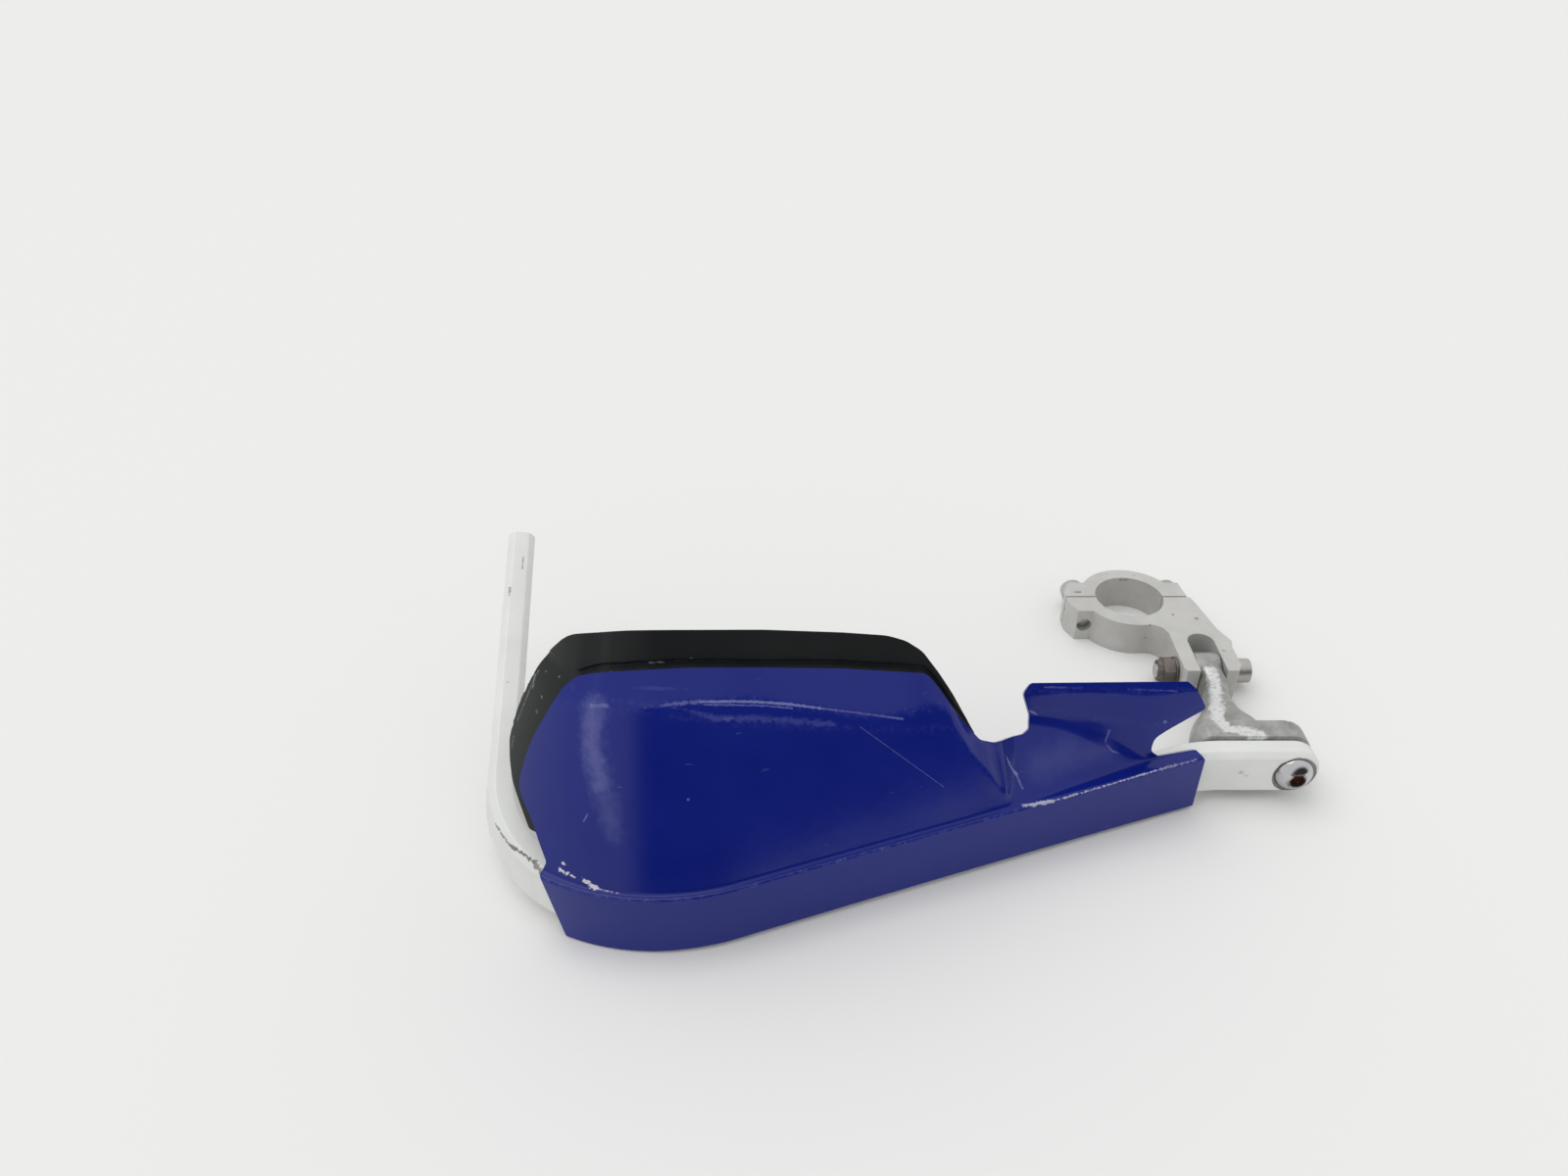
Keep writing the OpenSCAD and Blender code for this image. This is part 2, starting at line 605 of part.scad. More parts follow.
module guard_bar() {
    color("lightgray")
        difference() {
            bar_blank();
            translate([pivot_x, bar_back + cut_over, pivot_z])
                rotate([90, 0, 0]) cylinder(r = m8_r + run_gap, h = 2 * cut_over + bar_t);
            translate([pivot_x, bar_back - bar_t + spot_deep, pivot_z])
                rotate([90, 0, 0]) cylinder(r = spot_r, h = cut_over);
            for (s = shield_screw_stops)
                on_band(s) cylinder(r = boss_r + 0.2, h = 2 * cut_over);
            at_frame(ahead(leg_frame, leg_run - end_hole_in))
                rotate([90, 0, 0]) cylinder(r = end_hole_d / 2, h = 2 * bar_t, center = true);
        }
}

bar_front_in = shield_wall + bar_gap;
bar_back_in = bar_front_in + bar_t;
boss_end = bar_back_in - boss_short;
// Seat of a deflector screw's flange, cut flat into the curved wall
flange_at = shield_wall + deflector_gap + deflector_wall - 0.3;
stud_end = flange_at - 0.2;

module shield() {
    color([0.10, 0.14, 0.58])
        difference() {
            union() {
                intersection() {
                    loft([for (s = shield_stops) ring_of(s, shield_section(s), shield_wall)]);
                    panel_prism(shield_outline);
                }
                for (s = shield_screw_stops)
                    on_band(s) translate([0, 0, shield_wall / 2])
                        cylinder(r = boss_r, h = boss_end - shield_wall / 2);
                for (s = deflector_screw_stops)
                    on_panel(s) translate([0, 0, shield_wall / 2])
                        cylinder(r = stud_r, h = stud_end - shield_wall / 2);
            }
            for (s = shield_screw_stops)
                on_band(s) translate([0, 0, boss_end - insert_h])
                    cylinder(r = insert_r + run_gap, h = insert_h + 5);
            for (s = deflector_screw_stops)
                on_panel(s) translate([0, 0, 1]) cylinder(r = plastic_screw_r + run_gap, h = 10);
        }
}

module deflector() {
    color([0.05, 0.06, 0.06])
        difference() {
            intersection() {
                loft([for (s = deflector_stops) ring_of(s, deflector_section(s), deflector_wall)]);
                panel_prism(deflector_outline);
            }
            for (s = deflector_screw_stops)
                on_panel(s) {
                    cylinder(r = stud_r + hole_gap, h = cut_over);
                    translate([0, 0, flange_at]) cylinder(r = seat_r, h = cut_over);
                }
        }
}

module shield_insert(s) {
    color("gold")
        on_band(s) translate([0, 0, boss_end - insert_h])
            difference() {
                cylinder(r = insert_r, h = insert_h);
                translate([0, 0, -1]) cylinder(r = m5_r + run_gap, h = insert_h + 2);
            }
}

module shield_washer(s) {
    color("silver")
        on_band(s) translate([0, 0, bar_back_in])
            difference() {
                cylinder(r = plate_r, h = washer_t);
                translate([0, 0, -1]) cylinder(r = m5_r + hole_gap, h = washer_t + 2);
            }
}

module shield_screw(s) {
    color("silver")
        on_band(s) translate([0, 0, bar_back_in + washer_t])
            difference() {
                union() {
                    button_head(4.75, 2.8);
                    translate([0, 0, -8]) cylinder(r = m5_r, h = 8);
                }
                translate([0, 0, 1.1]) socket_recess(3, 3);
            }
}

module deflector_screw(s) {
    color("dimgray")
        on_panel(s) translate([0, 0, flange_at])
            difference() {
                union() {
                    cylinder(r = flange_r, h = 1);
                    translate([0, 0, 1]) button_head(3.4, 2.2);
                    translate([0, 0, -3.4]) cylinder(r = plastic_screw_r, h = 3.4);
                }
                translate([0, 0, 1.6]) socket_recess(2.5, 3);
            }
}

module shield_insert_inner() {
    shield_insert(shield_screw_stops[0]);
}

module shield_insert_outer() {
    shield_insert(shield_screw_stops[1]);
}

module shield_washer_inner() {
    shield_washer(shield_screw_stops[0]);
}

module shield_washer_outer() {
    shield_washer(shield_screw_stops[1]);
}

module shield_screw_inner() {
    shield_screw(shield_screw_stops[0]);
}

module shield_screw_outer() {
    shield_screw(shield_screw_stops[1]);
}

module deflector_screw_inner() {
    deflector_screw(deflector_screw_stops[0]);
}

module deflector_screw_middle() {
    deflector_screw(deflector_screw_stops[1]);
}

module deflector_screw_outer() {
    deflector_screw(deflector_screw_stops[2]);
}

clamp_body();
clamp_cap();
clamp_screw_left();
clamp_screw_right();
fork_bolt();
fork_washer();
fork_nut();
mounting_arm();
pivot_bolt();
guard_bar();
shield();
deflector();
shield_insert_inner();
shield_insert_outer();
shield_washer_inner();
shield_washer_outer();
shield_screw_inner();
shield_screw_outer();
deflector_screw_inner();
deflector_screw_middle();
deflector_screw_outer();
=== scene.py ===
"""Motorcycle hand guard on a pale floor.

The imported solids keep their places. The shield, the deflector, the bar and the cast arm are
modelled again with soft corners, and the clamp and the fasteners get softened edges.
Lengths in the tables are millimetres in the frame of the part, as in its source.
"""

import math
import random

import bpy
from mathutils import Matrix, Vector


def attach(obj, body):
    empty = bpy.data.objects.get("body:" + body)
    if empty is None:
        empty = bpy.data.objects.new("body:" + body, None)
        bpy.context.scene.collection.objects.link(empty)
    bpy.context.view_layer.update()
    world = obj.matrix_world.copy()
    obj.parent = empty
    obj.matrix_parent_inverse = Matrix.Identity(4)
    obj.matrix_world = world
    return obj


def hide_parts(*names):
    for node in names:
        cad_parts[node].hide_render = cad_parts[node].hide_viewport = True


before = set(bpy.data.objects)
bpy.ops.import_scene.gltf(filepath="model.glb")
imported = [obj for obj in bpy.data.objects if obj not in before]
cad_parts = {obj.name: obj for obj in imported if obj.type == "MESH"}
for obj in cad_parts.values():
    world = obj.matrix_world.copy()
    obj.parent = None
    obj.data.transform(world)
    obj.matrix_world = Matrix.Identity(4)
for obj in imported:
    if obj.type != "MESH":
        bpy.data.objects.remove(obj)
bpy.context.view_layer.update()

MM = 0.001
SURFACE_Z = -7.5
X = Vector((1, 0, 0))
Y = Vector((0, 1, 0))
Z = Vector((0, 0, 1))


# Shape of the shield, from the same values as the solid

SLOPE = math.radians(20.0)
BAND_RUN = 171.0
BAND_R = 75.0
BAND_H = 25.0
BAND_TOP = 17.5
BAND_END = 284.0
UNDER_FLANGE = 4.0
SHIELD_WALL = 2.2
DEFLECTOR_WALL = 2.0
DEFLECTOR_GAP = 0.6
BAR_GAP = 1.0
PANEL_LEAN = math.radians(39.0)
UPSTAND_LEAN = math.radians(20.0)

# The bar, from its pivot to its free end
PIVOT = Vector((33.5, -102.05, 5.5))
INNER_RUN = 24.9
INNER_R = 60.0
FRONT_RUN = 160.2
WIDE_R = 76.6
WIDE_TURN = math.radians(37.3)
TIGHT_R = 46.5
TIGHT_TURN = math.radians(69.3)
BEND_LEAN = math.radians(19.0)
LEG_RUN = 107.5
BAR_T = 10.0
BAR_H = 19.0
BAR_BEVEL = 2.2
END_BEVEL = 3.0
END_HOLE_IN = 12.0
END_HOLE_R = 4.25
BAR_LAP = 8.0
BAR_OFF = SHIELD_WALL + BAR_GAP + BAR_T / 2
BAR_STEP = 2.0
BAR_SOFT = 0.45
PIVOT_HOLE_R = 4.05
BAR_CUT = (80, 130)
SPOT_R = 7.8
SPOT_DEEP = 0.8

ALONG = Vector((math.cos(SLOPE), math.sin(SLOPE)))
INWARD = Vector((-math.sin(SLOPE), math.cos(SLOPE)))
SLOPE_START = Vector((PIVOT.x - INNER_RUN - INNER_R * math.sin(SLOPE),
                      PIVOT.y - INNER_R * (1 - math.cos(SLOPE))))
BAND_START = SLOPE_START + BAR_LAP * ALONG - BAR_OFF * INWARD
BAND_CENTRE = BAND_START - BAND_RUN * ALONG + BAND_R * INWARD

# Each row: distance along the band, then depth and height of five points up the panel
PANEL = [
    (0, (5.8, 0), (5.3, 6.5), (4.6, 14.5), (3.2, 27), (5.2, 32)),
    (18.7, (5.8, 0), (6.2, 1.5), (8, 14.5), (10.2, 27), (13, 32)),
    (35, (5, 0), (12.8, 7.5), (15.3, 15.5), (16.7, 27), (19.5, 32)),
    (52.4, (4.2, 0), (20.5, 15), (21.5, 19.5), (22.5, 27), (25.5, 32)),
    (64, (3.4, 0), (23, 16.5), (24.3, 20.5), (26.3, 27), (29, 32)),
    (70, (2.8, 0), (12, 8.5), (18, 16.5), (21, 22.5), (26, 29.5)),
    (77, (2.2, 0), (3.2, 2.5), (4.4, 6), (12, 16.5), (20, 25.5)),
    (82, (2.2, 0), (4.2, 5.3), (6.8, 13), (13.1, 21.2), (21.1, 29.9)),
    (86, (2.2, 0), (5, 7.5), (8.8, 18.5), (14, 25), (22, 33.5)),
    (94.4, (2.2, 0), (7, 13.5), (13.3, 30.5), (17, 36.5), (26, 46.5)),
    (101, (2.2, 0), (8, 16.5), (13.9, 32.2), (17.5, 38.5), (29, 51.5)),
    (113, (2.2, 0), (8.5, 17.5), (15.1, 35.5), (17.3, 39), (34, 56.5)),
    (138, (2.2, 0), (9.5, 20.5), (17.3, 41.5), (20.4, 46.5), (35, 62.5)),
    (164, (2.2, 0), (11, 24.5), (20, 49), (23.8, 55), (36, 68.5)),
    (187, (2.2, 0), (12, 26.5), (22, 54.5), (24, 57.5), (34, 68.5)),
    (200, (2.2, 0), (12, 26.5), (22.8, 56.8), (23.5, 57.8), (33, 68.5)),
    (219, (2.2, 0), (12, 26.5), (22.8, 56.5), (24, 58), (33, 67.5)),
    (226, (2.4, 0), (12.2, 26.5), (23, 54.5), (24.8, 57), (34, 66.5)),
    (250, (3.4, 0), (13.4, 26.5), (24, 52.5), (26.5, 56.5), (35, 65.5)),
    (285, (5.5, 0), (15.5, 26.5), (26, 51.5), (28.5, 55.5), (37, 64.5)),
]

# Outlines on the leaning panel: along, up the slope, radius of the corner
SHIELD_OUTLINE = [
    (1, -75, 0), (1, -1.5, 0), (-0.1, -0.9, 0.4), (-2.4, 2.5, 0.6), (-16.6, 0.5, 1.2),
    (-20, 2.4, 2.4), (-19.2, 6.8, 4), (-15.5, 9.4, 4), (-2.6, 17.2, 1.6), (-8.2, 24.3, 2.5),
    (-10.8, 26.5, 1.5), (-63.6, 26, 2), (-66.1, 22.5, 3), (-63.3, 15, 4), (-63.5, 10.4, 1.5),
    (-65.8, 8.6, 3), (-77.6, 6.5, 4), (-82.8, 7.6, 4), (-90.3, 15, 20), (-97.4, 24.7, 20),
    (-101.4, 29.3, 5), (-128.5, 30.8, 60), (-152.7, 31.1, 80), (-175.7, 31, 80),
    (-199.1, 29.8, 20), (-205.3, 29.2, 8), (-208.8, 28.4, 6), (-212.7, 25.6, 8),
    (-217.2, 19.9, 20), (-223.8, 10.4, 30), (-227.1, 4.1, 30), (-229.4, -2.2, 8),
    (-230, -5.4, 4), (-229.4, -8.7, 6), (-225.6, -16.1, 30), (-222.9, -24, 20),
    (-220.8, -29.4, 2), (-222.9, -33, 1), (-216.4, -55.3, 0), (-216.4, -75, 0),
]
DEFLECTOR_OUTLINE = [
    (-84.1, 9.5, 1), (-92.5, 22.7, 30), (-97.6, 29.9, 20), (-102.7, 36.3, 10),
    (-108.1, 39.5, 10), (-114.1, 41.2, 20), (-128.6, 42, 60), (-152.7, 42.5, 80),
    (-192.7, 41.9, 60), (-209.8, 41.1, 10), (-212.3, 40.5, 6), (-218.1, 37.2, 20),
    (-223.1, 32.2, 30), (-231.9, 18.7, 20), (-235.5, 8.8, 10), (-235.2, 1.8, 20),
    (-234, -5.2, 20), (-227.6, -19.8, 2), (-221.5, -22, 2), (-213.7, -9.8, 12),
    (-204.4, 3.9, 12), (-195.4, 9.5, 12), (-188.3, 11.5, 12), (-178.7, 13, 20),
    (-161.9, 13.5, 40), (-121.1, 12.5, 20), (-109.4, 11.5, 12), (-96.3, 7.5, 8), (-88, 5.5, 3),
]
# Height of the deflector's fold at distances along the band
DEFLECTOR_FOLD = [
    (82, 20.6), (86, 25.5), (90, 31.3), (94.4, 39.3), (97, 43.1), (99, 44.9), (104, 46.2),
    (113, 48), (126, 51.6), (151, 57.8), (164, 60.9), (178.5, 63.2), (187, 63.8), (200, 64.1),
    (212, 63.2), (219, 62.5), (226, 60.8), (232, 59.2), (238, 57.6), (285, 56.5),
]
# The torn edge: which part of the outline, its steps and its depth
TORN_SEED = 11
TORN_FROM = -208.0
TORN_ABOVE = 4.0
TORN_STEP = 0.9
TORN_DEEP = 0.35
TORN_OVER = 0.12
# Rise of the band's lower edge at distances along the band
BAND_RISE = [(0, 1), (60, 1.6), (120, 1.7), (177, 1.2), (205, 0.3), (220, 0), (285, 0)]
FOLD_OVER = 0.2
LEAST_SHARE = 0.05
FOOT_SHARE = 0.1
BEAD_H = 1.6
BEAD_IN = 0.7
UPSTAND_H = 18.0
DEFLECTOR_START = 82.0

# Screws at distances along the band, with their bosses, studs and holes
SHIELD_SCREWS = (22.0, 138.0)
DEFLECTOR_SCREWS = (122.0, 164.0, 206.0)
SCREW_DROP = 5.4
BOSS_R = 4.8
BOSS_GAP = 0.2
BOSS_CUT = (-20, 30)
INSERT_BORE_R = 3.25
INSERT_H = 7.0
BOSS_SHORT = 0.5
BOSS_END = SHIELD_WALL + BAR_GAP + BAR_T - BOSS_SHORT
STUD_R = 3.5
STUD_GAP = 0.3
STUD_SHORT = 0.2
SEAT_R = 5.2
HOLE_FROM = -2
CUT_TO = 20
CUT_PAST = 5
FLANGE_IN = 0.3
FLANGE_AT = SHIELD_WALL + DEFLECTOR_GAP + DEFLECTOR_WALL - FLANGE_IN


# Small helpers for lines and tables


def steady_curve(table):
    """A smooth curve through (x, y) pairs that never overshoots between them."""
    xs = [float(row[0]) for row in table]
    ys = [float(row[1]) for row in table]
    gaps = [b - a for a, b in zip(xs, xs[1:])]
    slopes = [(d - c) / g for c, d, g in zip(ys, ys[1:], gaps)]
    bends = [slopes[0]]
    for before, after, left, right in zip(slopes, slopes[1:], gaps, gaps[1:]):
        if before * after <= 0:
            bends.append(0.0)
        else:
            wide, narrow = 2 * right + left, right + 2 * left
            bends.append((wide + narrow) / (wide / before + narrow / after))
    bends.append(slopes[-1])

    def curve(x):
        i = 0
        while i < len(gaps) - 1 and x > xs[i + 1]:
            i += 1
        t = (x - xs[i]) / gaps[i]
        return ((2 * t**3 - 3 * t**2 + 1) * ys[i] + (t**3 - 2 * t**2 + t) * gaps[i] * bends[i]
                + (3 * t**2 - 2 * t**3) * ys[i + 1] + (t**3 - t**2) * gaps[i] * bends[i + 1])

    return curve


PANEL_CURVES = [
    (steady_curve([(row[0], row[k][0]) for row in PANEL]),
     steady_curve([(row[0], row[k][1]) for row in PANEL]))
    for k in range(1, 6)
]
FOLD_CURVE = steady_curve(DEFLECTOR_FOLD)
RISE_CURVE = steady_curve(BAND_RISE)


def panel_at(s):
    return [Vector((depth(s), height(s))) for depth, height in PANEL_CURVES]


def band_angle(s):
    return SLOPE if s <= BAND_RUN else SLOPE - (s - BAND_RUN) / BAND_R


def band_in(s):
    return Vector((-math.sin(band_angle(s)), math.cos(band_angle(s))))


def band_at(s):
    if s <= BAND_RUN:
        return BAND_START - s * ALONG
    return BAND_CENTRE - BAND_R * band_in(s)


def lift(s, point):
    """The place in the part of a point of the section at s."""
    flat = band_at(s) + point[0] * band_in(s)
    return Vector((flat.x, flat.y, BAND_TOP + point[1]))


def step_normal(a, b):
    return Vector((b.y - a.y, a.x - b.x)) / (b - a).length


def inset(points, wall):
    moved = []
    end = len(points) - 1
    for i, point in enumerate(points):
        before = step_normal(points[max(i - 1, 0)], points[max(i, 1)])
        after = step_normal(points[min(i, end - 1)], points[min(i + 1, end)])
        moved.append(point + wall * (before + after) / (1 + before.dot(after)))
    return moved


CORNER_STEPS = (0.0, 0.25, 0.5, 0.75, 1.0)
# Share of a corner's edge wear and painted highlight at each point of its bend
CORNER_WEAR_AND_HIGHLIGHT = (0.0, 0.6, 1.0, 0.6, 0.0)
OUTLINE_STEPS = (0.0, 0.2, 0.4, 0.6, 0.8, 1.0)
BEVEL_STEPS = (0.0, 0.5, 1.0)
LINE_SHARE = 0.42
OUTLINE_SHARE = 0.48


def round_off(start, corner, end, steps):
    """Points of the bend from start to end that the corner pulls on."""
    return [(1 - t) ** 2 * start + 2 * t * (1 - t) * corner + t * t * end for t in steps]


def soften(points, reaches):
    """Rounds the inner corners of a line and puts a point halfway along each straight."""
    line = [points[0]]
    for a, b, c, reach in zip(points, points[1:], points[2:], reaches):
        start = b + (a - b).normalized() * min(reach, LINE_SHARE * (a - b).length)
        end = b + (c - b).normalized() * min(reach, LINE_SHARE * (c - b).length)
        line.append((line[-1] + start) / 2)
        line.extend(round_off(start, b, end, CORNER_STEPS))
    line.append((line[-1] + points[-1]) / 2)
    line.append(points[-1])
    return line


def wear_and_highlight_along(creases):
    """Wear and painted highlight of each point that soften gives, for the share of them at each corner.
    """
    wear_and_highlight = [0.0]
    for crease in creases:
        wear_and_highlight.append(0.0)
        wear_and_highlight.extend(crease * share for share in CORNER_WEAR_AND_HIGHLIGHT)
    return wear_and_highlight + [0.0, 0.0]


def shield_corners(s):
    foot = RISE_CURVE(s) - BAND_H
    return [Vector((UNDER_FLANGE, foot)), Vector((0, foot)), Vector((0, 0))] + panel_at(s)


def deflector_corners(s):
    behind = inset(panel_at(s), SHIELD_WALL + DEFLECTOR_GAP)
    rise = FOLD_CURVE(s) + FOLD_OVER - behind[3].y
    share = max(LEAST_SHARE, rise / (behind[4].y - behind[3].y))
    if share <= 1:
        fold = behind[3].lerp(behind[4], share)
    else:
        fold = behind[3] + (behind[4] - behind[3]) * share
    tilt = math.tan(UPSTAND_LEAN)
    foot = behind[0].lerp(behind[1], FOOT_SHARE)
    return [foot, behind[1], behind[2], behind[3], fold,
            fold + Vector((BEAD_H * tilt, BEAD_H)),
            fold + Vector((1.5 * BEAD_H * tilt - BEAD_IN, 1.5 * BEAD_H)),
            fold + Vector((UPSTAND_H * tilt - BEAD_IN, UPSTAND_H))]


def round_outline(outline):
    """The outline's points, each corner rounded to its radius."""
    points = []
    count = len(outline)
    for i in range(count):
        a, b, c = (Vector(outline[(i + k) % count][:2]) for k in (-1, 0, 1))
        radius = outline[i][2]
        if radius <= 0:
            points.append(b)
            continue
        u, v = (a - b).normalized(), (c - b).normalized()
        half = math.acos(max(-1.0, min(1.0, u.dot(v)))) / 2
        room = OUTLINE_SHARE * min((a - b).length, (c - b).length)
        reach = min(radius / math.tan(half), room)
        points.extend(round_off(b + reach * u, b, b + reach * v, OUTLINE_STEPS))
    return points


# Modelling helpers: every operator works on the one piece that it is given


def pick_none():
    bpy.ops.object.select_all(action="DESELECT")


def pick(piece):
    pick_none()
    piece.select_set(True)
    bpy.context.view_layer.objects.active = piece


def edit_all(piece, *steps):
    """Runs edit-mode steps on the whole of a piece."""
    pick(piece)
    bpy.ops.object.mode_set(mode="EDIT")
    bpy.ops.mesh.select_all(action="SELECT")
    for step in steps:
        step()
    bpy.ops.object.mode_set(mode="OBJECT")


def merge_close():
    bpy.ops.mesh.remove_doubles(threshold=0.002 * MM)


def face_out():
    bpy.ops.mesh.normals_make_consistent(inside=False)


def make_piece(name, points, faces):
    """A mesh piece from points in millimetres."""
    mesh = bpy.data.meshes.new(name)
    mesh.from_pydata([tuple(point * MM) for point in points], [], faces)
    piece = bpy.data.objects.new(name, mesh)
    bpy.context.collection.objects.link(piece)
    return piece


def loft(name, rings):
    """A closed solid through rings of points, capped at both ends."""
    count = len(rings[0])
    points = [point for ring in rings for point in ring]
    faces = []
    for j in range(len(rings) - 1):
        for i in range(count):
            a, b = j * count + i, j * count + (i + 1) % count
            faces.append((a, b, b + count, a + count))
    last = (len(rings) - 1) * count
    faces.append(tuple(range(count)))
    faces.append(tuple(last + i for i in range(count)))
    piece = make_piece(name, points, faces)
    edit_all(piece, face_out)
    return piece


def apply_modifier(piece, kind, **settings):
    pick(piece)
    modifier = piece.modifiers.new(kind.lower(), kind)
    for key, value in settings.items():
        setattr(modifier, key, value)
    bpy.ops.object.modifier_apply(modifier=modifier.name)


def carve(piece, tool, operation):
    """Joins, cuts or trims a piece with another, which is used up."""
    apply_modifier(piece, "BOOLEAN", object=tool, operation=operation, solver="EXACT")
    bpy.data.objects.remove(tool, do_unlink=True)


def torn(points):
    """The outline with a ragged edge where the deflector's left side was rubbed away."""
    chance = random.Random(TORN_SEED)
    edge = []
    for a, b in zip(points, points[1:] + points[:1]):
        edge.append(a)
        if max(a.x, b.x) > TORN_FROM or min(a.y, b.y) < TORN_ABOVE:
            continue
        steps = round((b - a).length / TORN_STEP)
        out = Vector((a.y - b.y, b.x - a.x)).normalized()
        for k in range(1, steps):
            edge.append(a.lerp(b, k / steps) + chance.uniform(-TORN_DEEP, TORN_OVER) * out)
    return edge


def panel_prism(outline, finish=list):
    """The solid that cuts an outline square to the leaning panel."""
    up = Vector((0, math.sin(PANEL_LEAN), math.cos(PANEL_LEAN)))
    through = Vector((0, math.cos(PANEL_LEAN), -math.sin(PANEL_LEAN)))
    corner = Vector((BAND_START.x, BAND_START.y, BAND_TOP))
    flat = [corner + p.x * X + p.y * up for p in finish(round_outline(outline))]
    return loft("prism", [[p + side * BAND_RUN * through for p in flat] for side in (-1, 1)])


def rod(radius, low, high, place, sides=48):
    """A cylinder between two heights of a placed frame, in millimetres."""
    pick_none()
    bpy.ops.mesh.primitive_cylinder_add(vertices=sides, radius=radius * MM, depth=(high - low) * MM,
                                        location=(0, 0, (low + high) / 2 * MM))
    piece = bpy.context.object
    bpy.ops.object.transform_apply(location=True, rotation=True, scale=True)
    piece.data.transform(place)
    return piece


def drill(piece, *hole):
    """Cuts a round hole, given as for rod."""
    carve(piece, rod(*hole), "DIFFERENCE")


def frame_matrix(origin, across, up, out):
    """Places a modelled piece: its X, Y and Z directions and its origin in millimetres."""
    return Matrix.Translation(origin * MM) @ Matrix((across, up, out)).transposed().to_4x4()


def on_band(s):
    out = Vector((*band_in(s), 0))
    across = Vector((math.cos(band_angle(s)), math.sin(band_angle(s)), 0))
    origin = Vector((*band_at(s), PIVOT.z))
    return frame_matrix(origin, across, out.cross(across), out)


def row_between(s):
    """The panel's points at s, straight between two rows, where the solid has its screws."""
    for a, b in zip(PANEL, PANEL[1:]):
        if s <= b[0]:
            t = (s - a[0]) / (b[0] - a[0])
            return [Vector(a[k]).lerp(Vector(b[k]), t) for k in range(1, 6)]
    return [Vector(point) for point in PANEL[-1][1:]]


def fold_between(s):
    for a, b in zip(DEFLECTOR_FOLD, DEFLECTOR_FOLD[1:]):
        if s <= b[0]:
            return a[1] + (b[1] - a[1]) * (s - a[0]) / (b[0] - a[0])
    return DEFLECTOR_FOLD[-1][1]


def on_panel(s):
    row = row_between(s)
    share = (fold_between(s) - SCREW_DROP - row[3].y) / (row[4].y - row[3].y)
    rise = row[4] - row[3]
    lean = math.atan2(rise.x, rise.y)
    inward = band_in(s)
    out = Vector((inward.x * math.cos(lean), inward.y * math.cos(lean), -math.sin(lean)))
    across = Vector((math.cos(band_angle(s)), math.sin(band_angle(s)), 0))
    return frame_matrix(lift(s, row[3].lerp(row[4], share)), across, out.cross(across), out)


def mark_edges(piece, values):
    """Keeps how worn each point is, and how much painted highlight it gets, as the attribute that the
    finishes read.
    """
    layer = piece.data.attributes.new("edge_wear_and_highlight", "FLOAT", "POINT")
    layer.data.foreach_set("value", values)


def place_piece(piece, node, body, slot, material, angle=32.0):
    """Gives a finished piece its finish, its body and the solid that it stands for."""
    piece.name = node + "_piece"
    piece.data.materials.clear()
    piece.data.materials.append(material)
    pick(piece)
    bpy.ops.object.shade_smooth_by_angle(angle=math.radians(angle))
    apply_modifier(piece, "WEIGHTED_NORMAL", weight=50, keep_sharp=True)
    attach(piece, body)
    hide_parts(node)


# Shield and deflector

SCOOP = (58, 104)
SCOOP_STEP = 1.0
WIDE_STEP = 2.0
SOFT_FROM = 70.0
SOFT_RUN = 16.0
FOLD_SHARP = 2.5
FOLD_SOFTER = 7.0


def stations(first, last):
    """Distances along the band: close together where the scoop turns, wider elsewhere."""
    steps = [first]
    while steps[-1] < last - 0.1:
        s = steps[-1]
        step = SCOOP_STEP if SCOOP[0] <= s < SCOOP[1] else WIDE_STEP
        steps.append(min(last, s + step))
    return steps


def wall_rings(corners_at, reaches_at, creases, wall, first, last):
    """Closed sections of a thin wall along the band, and the wear and painted highlight of each of their
    points.
    """
    rings = []
    wear_and_highlight = []
    for s in stations(first, last):
        corners = corners_at(s)
        reaches = reaches_at(s)
        outer = soften(corners, reaches)
        inner = soften(inset(corners, wall), reaches)
        rings.append([lift(s, p) for p in outer] + [lift(s, p) for p in reversed(inner)])
        wear_and_highlight.extend(wear_and_highlight_along(creases))
        wear_and_highlight.extend([0.0] * len(inner))
    return rings, wear_and_highlight


def shield_reaches(s):
    """How far each corner of the section is rounded: the main fold gets softer past the scoop."""
    soft = min(1.0, max(0.0, (s - SOFT_FROM) / SOFT_RUN))
    return (1.0, 1.2, 1.2, FOLD_SHARP + FOLD_SOFTER * soft, 2.2, 2.2)


def deflector_reaches(s):
    return (6.0, 2.5, 2.5, 0.8, 0.5, 0.5)


def make_shield(material):
    # Edge wear and painted highlight at the inner corners: full on the band's top edge at the ledge,
    # some on its lower edge and the upper creases
    rings, wear_and_highlight = wall_rings(shield_corners, shield_reaches, (0.3, 1.0, 0.0, 0.0, 0.2, 0.3),
                             SHIELD_WALL, 0.0, BAND_END)
    shell = loft("shield_shell", rings)
    mark_edges(shell, wear_and_highlight)
    carve(shell, panel_prism(SHIELD_OUTLINE), "INTERSECT")
    for s in SHIELD_SCREWS:
        bore = (BOSS_END - INSERT_H, BOSS_END + CUT_PAST)
        carve(shell, rod(BOSS_R, SHIELD_WALL / 2, BOSS_END, on_band(s)), "UNION")
        drill(shell, INSERT_BORE_R, *bore, on_band(s))
    for s in DEFLECTOR_SCREWS:
        stud = (SHIELD_WALL / 2, FLANGE_AT - STUD_SHORT)
        carve(shell, rod(STUD_R, *stud, on_panel(s)), "UNION")
    edit_all(shell, merge_close)
    place_piece(shell, "shield", "guard", "shield_blue", material)


